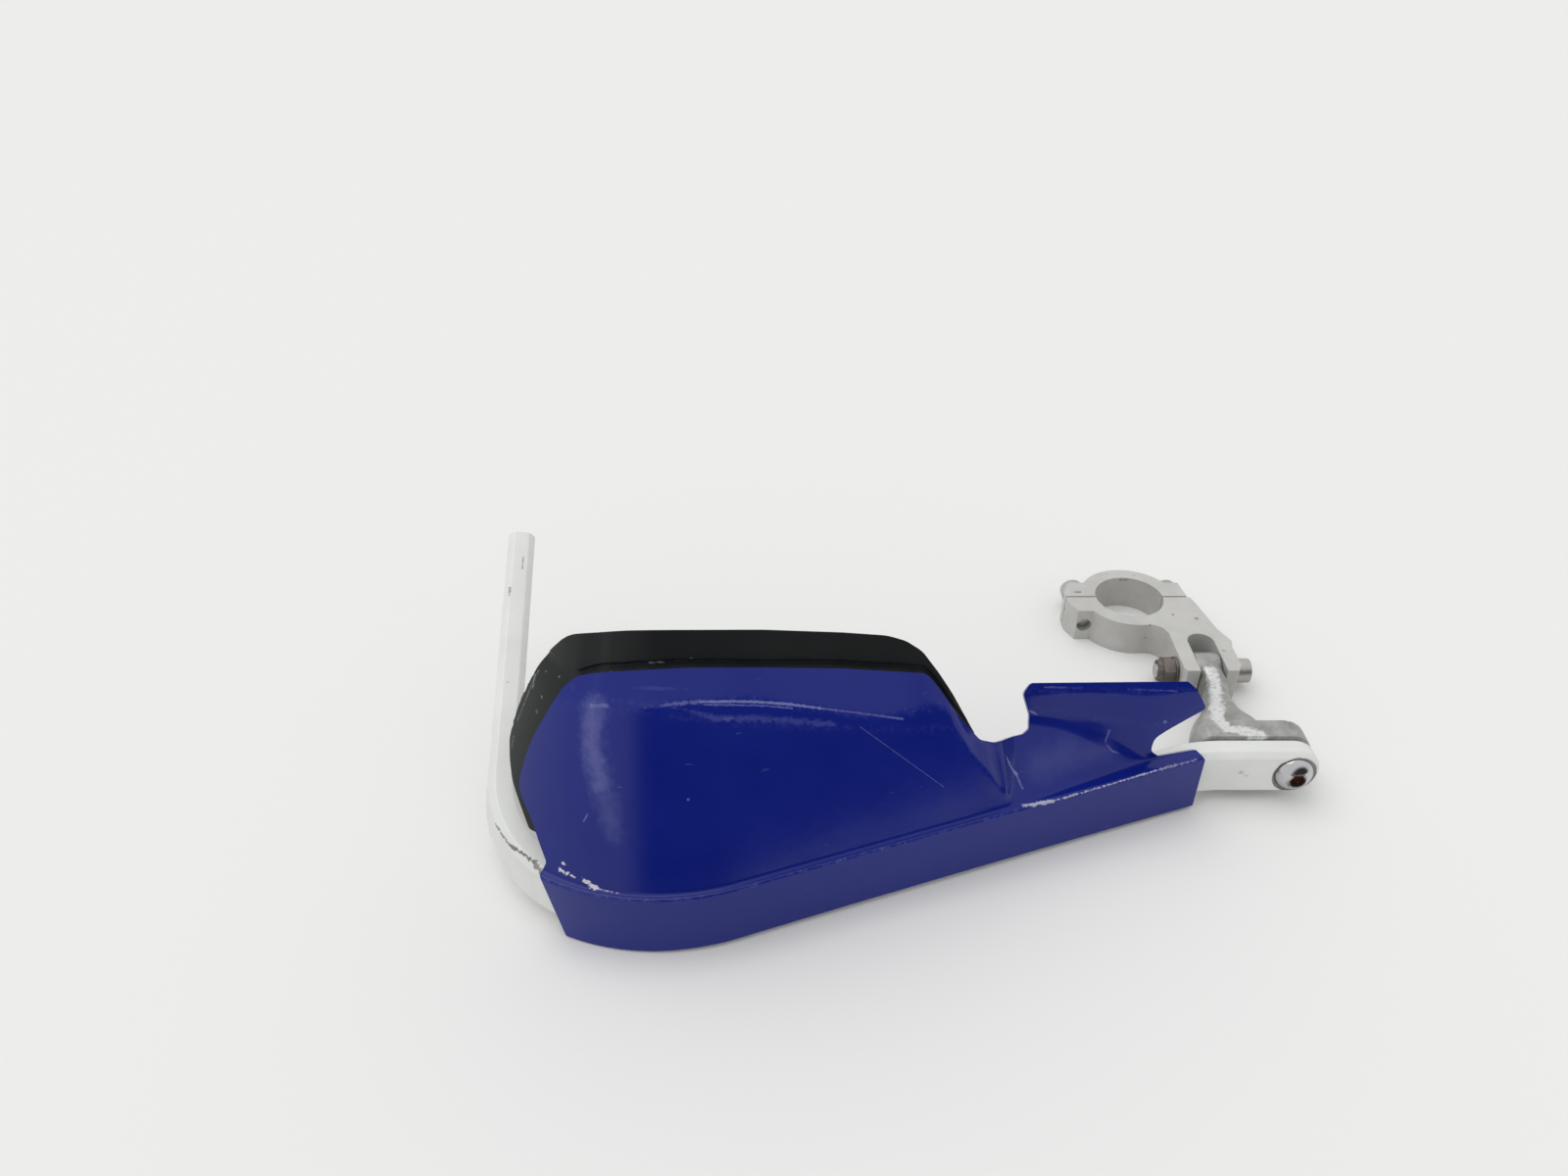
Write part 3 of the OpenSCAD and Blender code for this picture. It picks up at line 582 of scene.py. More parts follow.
def make_deflector(material):
    # Edge wear and painted highlight at the inner corners: most on the deflector's bead, some on its
    # fold
    rings, wear_and_highlight = wall_rings(deflector_corners, deflector_reaches, (0, 0, 0, 0.2, 0.5, 0.2),
                             DEFLECTOR_WALL, DEFLECTOR_START, BAND_END)
    blade = loft("deflector_blade", rings)
    mark_edges(blade, wear_and_highlight)
    carve(blade, panel_prism(DEFLECTOR_OUTLINE, torn), "INTERSECT")
    for s in DEFLECTOR_SCREWS:
        drill(blade, STUD_R + STUD_GAP, HOLE_FROM, CUT_TO, on_panel(s))
        drill(blade, SEAT_R, FLANGE_AT, CUT_TO, on_panel(s))
    edit_all(blade, merge_close)
    place_piece(blade, "deflector", "guard", "deflector_black", material)


# Bar, arm, clamp and fasteners


class BarFrame:
    """A place along the bar with its forward, thickness and height directions."""

    def __init__(self, origin, forward, thick, high):
        self.origin = origin
        self.forward = forward
        self.thick = thick
        self.high = high

    def ahead(self, run):
        return BarFrame(self.origin + run * self.forward, self.forward, self.thick, self.high)

    def bent(self, radius, angle, lean):
        """The frame after a bend about an axis that leans from the height direction."""
        axis = math.cos(lean) * self.high - math.sin(lean) * self.thick
        centre = self.origin + radius * (math.cos(lean) * self.thick + math.sin(lean) * self.high)
        turn = Matrix.Rotation(angle, 3, axis)
        return BarFrame(centre + turn @ (self.origin - centre), turn @ self.forward,
                        turn @ self.thick, turn @ self.high)

    def bend(self, radius, angle, lean=0.0):
        steps = math.ceil(abs(math.degrees(angle)) / BAR_STEP)
        return [self.bent(radius, angle * k / steps, lean) for k in range(1, steps + 1)]


PIVOT_FRAME = BarFrame(PIVOT, -X, -Y, Z)
PIVOT_AXIS = frame_matrix(Vector((PIVOT.x, 0, PIVOT.z)), X, Z, -Y)
FRONT_STEPS = 8
LEG_STEPS = 6
# The bevelled free end: how far back from its tip each section is, and by how many bevels smaller
END_SECTIONS = ((0.6, 1.9), (0.0, 2.6))
END_SIDES = 72
END_SOFT = 0.3


def bar_frames():
    frames = [PIVOT_FRAME, PIVOT_FRAME.ahead(INNER_RUN)]
    frames += frames[-1].bend(INNER_R, SLOPE)
    front = frames[-1]
    frames += [front.ahead(FRONT_RUN * k / FRONT_STEPS) for k in range(1, FRONT_STEPS + 1)]
    frames += frames[-1].bend(-WIDE_R, -WIDE_TURN)
    frames += frames[-1].bend(-TIGHT_R, -TIGHT_TURN, -BEND_LEAN)
    leg = frames[-1]
    frames += [leg.ahead((LEG_RUN - END_BEVEL) * k / LEG_STEPS) for k in range(1, LEG_STEPS + 1)]
    return frames, leg


def bar_profile():
    """The bar's section, with its bevelled corners a little rounded."""
    side, top = BAR_T / 2, BAR_H / 2
    flat, face = side - BAR_BEVEL, top - BAR_BEVEL
    corners = [Vector(corner) for corner in (
        (side, -face), (side, face), (flat, top), (-flat, top),
        (-side, face), (-side, -face), (-flat, -top), (flat, -top))]
    points = []
    for before, corner, after in zip(corners[-1:] + corners[:-1], corners, corners[1:] + corners[:1]):
        start = corner + (before - corner).normalized() * BAR_SOFT
        end = corner + (after - corner).normalized() * BAR_SOFT
        points.extend(round_off(start, corner, end, BEVEL_STEPS))
    return points


def bar_ring(frame_at, across=1.0, along=1.0):
    return [frame_at.origin + across * p.x * frame_at.thick + along * p.y * frame_at.high
            for p in bar_profile()]


def make_bar(material):
    frames, leg = bar_frames()
    rings = [bar_ring(f) for f in frames]
    for back, bevels in END_SECTIONS:
        less = bevels * END_BEVEL
        rings.append(bar_ring(leg.ahead(LEG_RUN - back), 1 - less / BAR_T, 1 - less / BAR_H))
    bar = loft("bar_blank", rings)
    carve(bar, round_bar_end(), "UNION")
    spot = (-PIVOT.y + BAR_T / 2 - SPOT_DEEP, BAR_CUT[1])
    drill(bar, PIVOT_HOLE_R, *BAR_CUT, PIVOT_AXIS)
    drill(bar, SPOT_R, *spot, PIVOT_AXIS, 64)
    for s in SHIELD_SCREWS:
        drill(bar, BOSS_R + BOSS_GAP, *BOSS_CUT, on_band(s))
    end = leg.ahead(LEG_RUN - END_HOLE_IN)
    along = frame_matrix(end.origin, end.forward, end.high, end.thick)
    drill(bar, END_HOLE_R, -BAR_T, BAR_T, along)
    edit_all(bar, merge_close)
    place_piece(bar, "guard_bar", "guard", "bar_paint", material, 25.0)


def round_bar_end():
    """The bar's rounded end: its half section spun about the pivot."""
    edge, side, bevel, soft = BAR_H / 2, BAR_T / 2, BAR_BEVEL, END_SOFT
    half = [(0, -side), (edge - bevel - soft, -side), (edge - bevel + soft, soft - side),
            (edge - soft, bevel - soft - side), (edge, bevel + soft - side),
            (edge, side - bevel - soft), (edge - soft, side - bevel + soft),
            (edge - bevel + soft, side - soft), (edge - bevel - soft, side), (0, side)]
    count = len(half)
    points = []
    faces = []
    for k in range(END_SIDES):
        turn = 2 * math.pi * k / END_SIDES
        points += [PIVOT + Vector((reach * math.cos(turn), high, reach * math.sin(turn)))
                   for reach, high in half]
        for i in range(count - 1):
            a, b = k * count + i, (k + 1) % END_SIDES * count + i
            faces.append((a, a + 1, b + 1, b))
    piece = make_piece("bar_end", points, faces)
    edit_all(piece, merge_close, face_out)
    return piece


# Each row: distance ahead of the fork bolt, middle across, half width, middle height, half height
ARM_NECK = [
    (0, 0, 5.05, 0, 7.15), (7, 0, 5.0, 0.1, 7.2), (13, 0, 4.89, 0.33, 7.3), (17, -1.0, 4.82, 0.8, 7.5),
    (21, -2.5, 4.8, 1.49, 7.8), (25, -3.4, 5.1, 2.2, 8.0), (29, -4.2, 5.5, 3.0, 8.29),
    (33, -5.2, 6.5, 3.75, 8.55), (37, -6.2, 8.0, 4.51, 8.8), (40, -6.5, 9.9, 4.9, 9.0),
    (43, -6.7, 12.0, 5.28, 9.2), (49, -6.7, 14.0, 5.5, 9.4),
]
TONGUE_W = 10.3
TONGUE_R = 7.3
FORK = Vector((21.7, -41.0, 0.0))
FOOT_BACK = -88.0
FOOT_FRONT = -97.0
FOOT_RUN = 31.5
FOOT_R = 9.5
FOOT_CORNER = 2.5
FOOT_STEPS = 24
NECK_STEPS = 40
NECK_SIDES = 40
NECK_SQUARE = 0.66
FORK_HOLE_R = 3.05
FORK_CUT = (-30, 30)
ARM_CUT = (70, 110)
SKIN_VOXEL = 0.55
SKIN_ROUNDS = 7


def neck_ring(row):
    """A rounded box section of the neck, a little round on its top like the casting."""
    run, shift, half_w, middle, half_h = row
    ring = []
    for k in range(NECK_SIDES):
        turn = 2 * math.pi * k / NECK_SIDES
        across, up = (math.copysign(abs(v) ** NECK_SQUARE, v) for v in (math.cos(turn), math.sin(turn)))
        ring.append(Vector((FORK.x + shift + half_w * across, FORK.y - run, middle + half_h * up)))
    return ring


def foot_outline():
    """The foot plate seen along the pivot: round at the bolt, with small corners at its far end."""
    turns = [math.pi * k / FOOT_STEPS for k in range(FOOT_STEPS + 1)]
    outline = [PIVOT.xz + FOOT_R * Vector((math.sin(turn), -math.cos(turn))) for turn in turns]
    far = PIVOT.xz - Vector((FOOT_RUN, 0))
    flat = FOOT_R - FOOT_CORNER
    corners = ((FOOT_CORNER, FOOT_R), (0, flat), (0, -flat), (FOOT_CORNER, -FOOT_R))
    return outline + [far + Vector(corner) for corner in corners]


def make_arm(material):
    """The cast arm: a neck grown between the tongue and the foot, with the skin of a casting."""
    curves = [steady_curve([(row[0], row[k]) for row in ARM_NECK]) for k in range(1, 5)]
    runs = [ARM_NECK[-1][0] * k / NECK_STEPS for k in range(NECK_STEPS + 1)]
    arm = loft("arm_neck", [neck_ring([run] + [curve(run) for curve in curves]) for run in runs])
    across = frame_matrix(FORK, Y, Z, X)
    carve(arm, rod(TONGUE_R, -TONGUE_W / 2, TONGUE_W / 2, across, 96), "UNION")
    outline = foot_outline()
    foot = loft("foot", [[Vector((p.x, y, p.y)) for p in outline] for y in (FOOT_BACK, FOOT_FRONT)])
    carve(arm, foot, "UNION")
    apply_modifier(arm, "REMESH", mode="VOXEL", voxel_size=SKIN_VOXEL * MM)
    apply_modifier(arm, "SMOOTH", factor=0.5, iterations=SKIN_ROUNDS)
    drill(arm, FORK_HOLE_R, *FORK_CUT, across)
    drill(arm, PIVOT_HOLE_R, *ARM_CUT, PIVOT_AXIS)
    edit_all(arm, merge_close)
    place_piece(arm, "mounting_arm", "arm", "arm_alloy", material, 50.0)


def soften_node(node, body, slot_name, material, width):
    """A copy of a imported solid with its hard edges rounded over."""
    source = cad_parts[node]
    piece = source.copy()
    piece.data = source.data.copy()
    bpy.context.collection.objects.link(piece)
    piece.parent = None
    piece.matrix_world = source.matrix_world
    pick(piece)
    bpy.ops.object.transform_apply(location=True, rotation=True, scale=True)
    edit_all(piece, merge_close)
    apply_modifier(piece, "DECIMATE", decimate_type="DISSOLVE", angle_limit=math.radians(1.0))
    apply_modifier(piece, "BEVEL", width=width * MM, segments=2, limit_method="ANGLE",
                   angle_limit=math.radians(28.0), use_clamp_overlap=True, harden_normals=False)
    place_piece(piece, node, body, slot_name, material, 40.0)


# Shader node helpers


VECTOR = "NodeSocketVector"
FLOAT = "NodeSocketFloat"


def new_group(name, inputs):
    """A node group from a place and other named inputs to a mask: its tree, inputs and mask."""
    group = bpy.data.node_groups.new(name, "ShaderNodeTree")
    for label, kind, value in [("Vector", VECTOR, (0, 0, 0))] + inputs:
        socket = group.interface.new_socket(label, in_out="INPUT", socket_type=kind)
        socket.default_value = value
    group.interface.new_socket("Mask", in_out="OUTPUT", socket_type=FLOAT)
    given = group.nodes.new("NodeGroupInput").outputs
    mask = group.nodes.new("NodeGroupOutput").inputs["Mask"]
    return group, given, mask


def add_node(tree, kind, **settings):
    node = tree.nodes.new(kind)
    for key, value in settings.items():
        setattr(node, key, value)
    return node


def put(tree, value, socket):
    """Links an output to the socket, or sets the socket's own value."""
    if value is None:
        return
    if isinstance(value, bpy.types.NodeSocket):
        tree.links.new(value, socket)
    else:
        socket.default_value = value


def math_node(tree, operation, a, b=None, clamp=False):
    node = add_node(tree, "ShaderNodeMath", operation=operation, use_clamp=clamp)
    put(tree, a, node.inputs[0])
    put(tree, b, node.inputs[1])
    return node.outputs[0]


def vector_node(tree, operation, a, b=None, scale=None):
    """A vector operation, or the number that a dot product or a length gives."""
    node = add_node(tree, "ShaderNodeVectorMath", operation=operation)
    put(tree, a, node.inputs[0])
    put(tree, b, node.inputs[1])
    if scale is not None:
        put(tree, scale, node.inputs["Scale"])
    return node.outputs["Value" if operation in ("DOT_PRODUCT", "LENGTH") else "Vector"]


def noise(tree, vector, scale, detail=4.0, roughness=0.5):
    node = add_node(tree, "ShaderNodeTexNoise")
    put(tree, vector, node.inputs["Vector"])
    put(tree, scale, node.inputs["Scale"])
    put(tree, detail, node.inputs["Detail"])
    put(tree, roughness, node.inputs["Roughness"])
    return node.outputs["Fac"]


def ramp(tree, value, low, high):
    """0 at low, 1 at high, smooth between."""
    node = add_node(tree, "ShaderNodeMapRange", interpolation_type="SMOOTHSTEP")
    put(tree, value, node.inputs["Value"])
    put(tree, low, node.inputs["From Min"])
    put(tree, high, node.inputs["From Max"])
    return node.outputs["Result"]


def mix_colour(tree, mask, first, second):
    node = add_node(tree, "ShaderNodeMix", data_type="RGBA")
    put(tree, mask, node.inputs["Factor"])
    put(tree, first, node.inputs["A"])
    put(tree, second, node.inputs["B"])
    return node.outputs["Result"]


def mask_of(tree, group, **values):
    """The mask of a group that is placed with these inputs."""
    node = add_node(tree, "ShaderNodeGroup")
    node.node_tree = group
    for label, value in values.items():
        put(tree, value, node.inputs[label])
    return node.outputs["Mask"]


def scaled(tree, mask, amount):
    """A mask times a number or another mask."""
    return math_node(tree, "MULTIPLY", mask, amount)


def layered(tree, colour, layers):
    """A colour with others over it. Each layer: its mask, its share and its colour."""
    for mask, share, tone in layers:
        colour = mix_colour(tree, scaled(tree, mask, share), colour, (*tone, 1))
    return colour


# Shared effects


def make_mottle():
    """Uneven tone of a cast or painted surface."""
    group, given, mask = new_group("Mottle", [("Scale", FLOAT, 60.0)])
    wide = noise(group, given["Vector"], given["Scale"], 5, 0.6)
    put(group, ramp(group, wide, 0.3, 0.7), mask)
    return group


def make_specks():
    """Small round specks, pits or dust."""
    group, given, mask = new_group(
        "Specks",
        [("Scale", FLOAT, 300.0), ("Size", FLOAT, 0.15), ("Share", FLOAT, 0.2)])
    cells = add_node(group, "ShaderNodeTexVoronoi")
    put(group, given["Vector"], cells.inputs["Vector"])
    put(group, given["Scale"], cells.inputs["Scale"])
    split = add_node(group, "ShaderNodeSeparateColor")
    put(group, cells.outputs["Color"], split.inputs["Color"])
    size = scaled(group, split.outputs["Green"], given["Size"])
    near = math_node(group, "LESS_THAN", cells.outputs["Distance"], size)
    picked = math_node(group, "LESS_THAN", split.outputs["Red"], given["Share"])
    put(group, scaled(group, near, picked), mask)
    return group


def make_scratches():
    """Fine scratches that run mostly one way, in patches."""
    group, given, mask = new_group(
        "Scratches",
        [("Stretch", VECTOR, (0.05, 1.0, 1.0)), ("Scale", FLOAT, 40.0), ("Share", FLOAT, 0.1)])
    drawn = vector_node(group, "MULTIPLY", given["Vector"], given["Stretch"])
    fine = scaled(group, given["Scale"], 12.0)
    lines = noise(group, drawn, fine, 2.0)
    edge = math_node(group, "SUBTRACT", 0.78, scaled(group, given["Share"], 0.4))
    line = ramp(group, lines, edge, math_node(group, "ADD", edge, 0.03))
    patch = ramp(group, noise(group, given["Vector"], given["Scale"], 2), 0.5, 0.65)
    put(group, scaled(group, line, patch), mask)
    return group


def make_streak():
    """A mark along the straight line between two places: a scratch, a scuff, a chip, a stain, a painted
    highlight or a painted shade.
    """
    group, given, mask = new_group(
        "Streak",
        [("From", VECTOR, (0, 0, 0)), ("To", VECTOR, (0, 0, 0.01)), ("Width", FLOAT, 0.001),
         ("Soft", FLOAT, 0.5), ("Ragged", FLOAT, 0.5), ("Grain", FLOAT, 900.0)])
    reach = vector_node(group, "SUBTRACT", given["Vector"], given["From"])
    run = vector_node(group, "SUBTRACT", given["To"], given["From"])
    along = vector_node(group, "DOT_PRODUCT", reach, run)
    length = vector_node(group, "DOT_PRODUCT", run, run)
    share = math_node(group, "DIVIDE", along, math_node(group, "ADD", length, 1e-9), clamp=True)
    foot = vector_node(group, "SCALE", run, scale=share)
    gap = vector_node(group, "SUBTRACT", reach, foot)
    off = vector_node(group, "LENGTH", gap)
    grain = noise(group, given["Vector"], given["Grain"], 4, 0.65)
    drift = math_node(group, "SUBTRACT", grain, 0.5)
    push = scaled(group, drift, scaled(group, given["Ragged"], 4.0))
    near = math_node(group, "ADD", math_node(group, "DIVIDE", off, given["Width"]), push)
    inner = math_node(group, "SUBTRACT", 1.0, given["Soft"])
    faded = ramp(group, near, inner, 1.001)
    put(group, math_node(group, "SUBTRACT", 1.0, faded), mask)
    return group


MOTTLE = make_mottle()
SPECKS = make_specks()
SCRATCHES = make_scratches()
STREAK = make_streak()
STREAK_GRAIN = 700.0
THINNEST = 0.25


def streaks(tree, where, lines):
    """The mask of several marks. Each: places in millimetres, width, softness, ragged, strength."""
    result = None
    for places, width, soft, ragged, strength in lines:
        grain = STREAK_GRAIN / max(width, THINNEST) ** 0.5
        ends = list(zip(places, places[1:])) or [(places[0], places[0])]
        for a, b in ends:
            mark = mask_of(tree, STREAK, Vector=where, From=[v * MM for v in a], To=[v * MM for v in b],
                           Width=width * MM, Soft=soft, Ragged=ragged, Grain=grain)
            mask = scaled(tree, mark, strength)
            result = mask if result is None else math_node(tree, "MAXIMUM", result, mask)
    return result


def new_material(name, metallic=0.0):
    """A finish: its material, its tree, its shader and the place on the part in metres."""
    material = bpy.data.materials.new(name)
    material.use_nodes = True
    tree = material.node_tree
    shader = tree.nodes["Principled BSDF"]
    shader.inputs["Metallic"].default_value = metallic
    where = tree.nodes.new("ShaderNodeTexCoord").outputs["Object"]
    return material, tree, shader, where


def set_finish(tree, shader, colour, rough, specular=0.5):
    """Links or sets what the shader takes for its colour, roughness and mirror strength."""
    put(tree, colour, shader.inputs["Base Color"])
    put(tree, rough, shader.inputs["Roughness"])
    put(tree, specular, shader.inputs["Specular IOR Level"])


def bump(tree, shader, height, distance, strength=1.0):
    node = add_node(tree, "ShaderNodeBump")
    put(tree, distance, node.inputs["Distance"])
    put(tree, strength, node.inputs["Strength"])
    put(tree, height, node.inputs["Height"])
    put(tree, node.outputs["Normal"], shader.inputs["Normal"])


def worn_rim_and_highlight(tree, where, scale, low, high):
    """The edges marked in the attribute, worn and with a painted highlight, broken up by a noise."""
    edge = add_node(tree, "ShaderNodeAttribute", attribute_name="edge_wear_and_highlight").outputs["Fac"]
    broken = ramp(tree, noise(tree, where, scale, 5, 0.7), low, high)
    return scaled(tree, edge, broken)


# Finishes, with the marks of use, and some painted highlights and shade, at their places on the part

# Rubbed lines and scratches on the shell, with painted highlights on the left bulge and in the scoop
SHIELD_RUBS_AND_HIGHLIGHTS = [
    # the pale rubbed line along the upper facet
    ([(-189.5, -149.9, 74.3), (-180, -149, 74.9), (-173.3, -147.2, 74.1)], 0.9, 0.9, 0.5, 0.5),
    ([(-173.3, -147.2, 74.1), (-163, -144.4, 71.9), (-154.3, -142, 69.5), (-145.4, -139.9, 66.7),
      (-137.3, -138.3, 63.9)], 0.55, 0.7, 0.5, 0.85),
    ([(-172, -147.5, 73.3), (-163, -145, 71), (-154.3, -142.6, 68.6), (-146, -140.7, 66)],
     0.4, 0.9, 0.7, 0.5),
    ([(-137.3, -138.3, 63.9), (-126.3, -136, 60.2), (-111.1, -133, 54.9)], 0.5, 0.8, 0.3, 0.5),
    ([(-181, -148.9, 73.9), (-168.7, -148.8, 69.1)], 1.2, 1.0, 0.7, 0.25),
    ([(-168.7, -148.8, 69.1), (-155.8, -145.2, 65.9), (-133.3, -140, 58.9)], 1.4, 1.0, 0.8, 0.18),
    # the left bulge: a painted highlight down its rounded edge
    ([(-205.2, -147.6, 73), (-200.5, -148.9, 74.2)], 1.3, 1.0, 0.3, 0.75),
    ([(-204.4, -147.9, 72.5), (-205.6, -152.2, 62), (-203.4, -157.5, 50)], 6.0, 1.0, 0.3, 0.42),
    ([(-203, -157.5, 50), (-200, -161.5, 36)], 6.0, 1.0, 0.3, 0.22),
    # fine scratches
    ([(-124.7, -138.1, 56.1), (-96.9, -138.1, 30.4)], 0.22, 0.7, 0.5, 0.35),
    ([(-209.1, -160.3, 37.9), (-207.7, -159.6, 40.4)], 0.4, 0.7, 0.4, 0.6),
    ([(-206.5, -158.8, 46.5), (-200, -159.2, 46)], 0.3, 0.9, 0.5, 0.35),
    ([(-198, -158.5, 50.5), (-194.5, -158.6, 50.2)], 0.3, 0.9, 0.4, 0.3),
    ([(-212.5, -156.3, 52), (-212, -157.9, 46.5)], 0.3, 0.9, 0.4, 0.3),
    ([(-177.5, -156, 57.3), (-175, -155.8, 57)], 0.3, 0.9, 0.4, 0.25),
    # the scoop: painted highlights on the lip of its wall and along the flap's top edge, and pale marks
    # on its rim; the dusty floor follows below
    ([(-74.9, -124, 30.2), (-72.6, -124.8, 27), (-70.7, -125.5, 23.9)], 0.75, 0.5, 0.3, 0.95),
    ([(-76, -124.5, 32), (-74.9, -124, 30.2)], 0.7, 0.9, 0.4, 0.4),
    ([(-70.7, -125.5, 23.9), (-68.8, -128.6, 20.4)], 0.6, 0.9, 0.5, 0.6),
    ([(-66.5, -108.2, 37.9), (-62.2, -109.3, 35.9)], 0.6, 0.8, 0.3, 0.8),
    ([(-62.2, -109.3, 35.9), (-55, -111, 33.4)], 0.45, 1.0, 0.5, 0.35),
    ([(-69, -106.6, 43.2), (-68.2, -107, 42)], 0.7, 0.9, 0.8, 0.4),
    ([(-60.5, -106.6, 45.9), (-16, -107.4, 44.8)], 0.5, 1.0, 0.6, 0.35),
    ([(-36.7, -109.4, 29), (-37.9, -110.7, 24.4), (-35.4, -112.4, 22.2), (-31, -113, 20.9)],
     0.5, 0.8, 0.2, 0.45),
]
# Dust on the scoop floor, which is also painted lighter where it faces up to the light
SCOOP_DUST_AND_PAINTED_LIGHT = [
    ([(-62, -121.5, 23.5), (-50, -115, 24)], 9.0, 1.0, 0.2, 0.5),
    ([(-50, -116, 23), (-38, -112.5, 23)], 6.0, 1.0, 0.2, 0.4),
]
SHIELD_CHIPS = [
    ([(-216.5, -163.2, 22.5)], 0.85, 0.4, 0.5, 0.9),
    ([(-217.6, -163.8, 20), (-215.6, -164.9, 19.7)], 0.75, 0.5, 1.2, 0.95),
    ([(-214, -165.5, 19.7), (-213, -166, 19.4)], 0.5, 0.4, 0.9, 0.9),
    ([(-209.9, -167.4, 19.2), (-208.6, -167.9, 18.9)], 0.9, 0.5, 1.2, 0.9),
    ([(-207.9, -168.3, 18.4), (-206, -169, 18)], 0.85, 0.5, 1.2, 0.95),
    ([(-205.4, -169.3, 17.7), (-199, -170.8, 17.5)], 0.3, 0.5, 0.9, 0.7),
    ([(-68.7, -133.7, 17.6), (-58.4, -131.3, 17.1)], 0.8, 0.6, 1.0, 0.6),
    ([(-58.4, -131.3, 17.2), (-46, -126.8, 17.2)], 0.5, 0.6, 1.0, 0.6),
    ([(-46, -126.8, 17.2), (-20.5, -117, 17.5)], 0.4, 0.6, 1.0, 0.55),
    ([(-19, -116.5, 17.6), (-5, -111.7, 17.6)], 0.7, 0.8, 1.0, 0.35),
]
# Chips in the bar's paint, and painted shade round the bolt's head
BAR_CHIPS_AND_RING_SHADE = [
    ([(-248.2, -36.3, 52.1), (-247.8, -41.8, 50.3)], 0.35, 0.5, 1.0, 0.6),
    ([(-251.1, -51.3, 48), (-250.9, -54.5, 47.4)], 0.7, 0.5, 0.7, 0.75),
    ([(-242.7, -141.7, 17.5), (-236.6, -149.8, 16.2)], 0.45, 0.5, 1.1, 0.8),
    ([(-236.6, -149.8, 16.2), (-231.1, -153.9, 16.2), (-227.5, -156.8, 15.7)], 0.6, 0.4, 1.1, 0.95),
    ([(-227.5, -156.8, 15.7), (-225.4, -159.2, 14.4)], 1.0, 0.5, 1.0, 0.8),
    ([(-6.5, -116.3, 12.6), (-3.5, -115.2, 13.2)], 0.9, 0.6, 1.1, 0.65),
    ([(13.6, -107.6, 7), (16.5, -107.6, 5.2)], 0.9, 0.7, 1.1, 0.55),
    ([(27.5, -107.4, 13.2), (38.5, -107.4, 13.8)], 0.5, 0.6, 1.2, 0.5),
    ([(42.4, -107.4, 6), (42.4, -107.4, 1)], 0.5, 0.6, 1.2, 0.5),
    # painted shade, with some dirt, in the gap round the bolt's head
    ([(33.5, -112, 5.5), (33.5, -104, 5.5)], 8.3, 0.08, 0.06, 0.85),
]
# Painted highlight along the top of the neck and the foot's top edge
ARM_RIDGE_HIGHLIGHT = [
    ([(20, -50, 7.4), (18.4, -58, 8.2), (16.6, -65.9, 9.8), (13.8, -74, 12.1), (12.2, -79.5, 13.4)],
     3.4, 0.45, 0.42, 1.0),
    ([(12.2, -79.5, 13.4), (10.2, -88.4, 15), (12.2, -92.8, 15), (18.4, -94.4, 15), (23, -96.3, 15)],
     3.0, 0.45, 0.42, 1.0),
]
# Specks and scuffs on the deflector, and a painted highlight along its bead at the left
DEFLECTOR_MARKS_AND_BEAD_HIGHLIGHT = [
    ([(-223.2, -133.7, 64.6)], 0.5, 0.4, 0.6, 0.8), ([(-216.9, -134, 72.9)], 0.5, 0.4, 0.6, 0.8),
    ([(-226, -127.5, 67.8), (-226.8, -128.6, 64.7)], 0.8, 0.6, 1.1, 0.8),
    ([(-221.8, -129.8, 71.6)], 0.4, 0.4, 0.7, 0.7),
    ([(-235.2, -130.4, 45), (-235.6, -132, 41)], 0.5, 0.6, 1.2, 0.6),
    # painted highlight along the bead at the deflector's left side
    ([(-233.5, -128.7, 50.5), (-227.6, -127.8, 64), (-224.5, -127.4, 70)], 0.35, 0.6, 1.4, 0.6),
    ([(-188.1, -140, 83.2), (-184, -139.2, 83)], 0.5, 0.6, 0.8, 0.7),
    ([(-176, -138, 82.8)], 0.6, 0.6, 0.8, 0.5),
]
CLAMP_STAINS = [
    ([(0, 14, 6.5), (3, 14.2, 6.8)], 0.8, 0.8, 1.2, 0.6),
    ([(-22.5, 3.5, 7.2), (-20.5, 3.5, 7.5)], 0.8, 0.5, 1.0, 0.8),
    ([(9.2, -25.4, 7.4), (9.6, -26.4, 7.4)], 0.7, 0.6, 1.0, 0.6),
    ([(3.9, -20, 7.3), (4.2, -22.5, 6.5)], 0.6, 0.6, 1.0, 0.5),
    ([(28.5, -37.5, 7.4), (29.8, -37.9, 7.4)], 0.45, 0.5, 1.0, 0.7),
    ([(24.5, -20, 7.3)], 0.5, 0.6, 1.0, 0.5),
]
NUT_RUST = [([(2, -41, 0), (14, -41, 0)], 4.2, 0.4, 0.5, 0.7)]
SOCKET_RUST = [([(33.5, -116, 5.5), (33.5, -104, 5.5)], 3.0, 0.3, 0.15, 1.0)]
SOCKET_RIM = [([(33.5, -116, 5.5), (33.5, -104, 5.5)], 3.6, 0.3, 0.3, 0.8)]


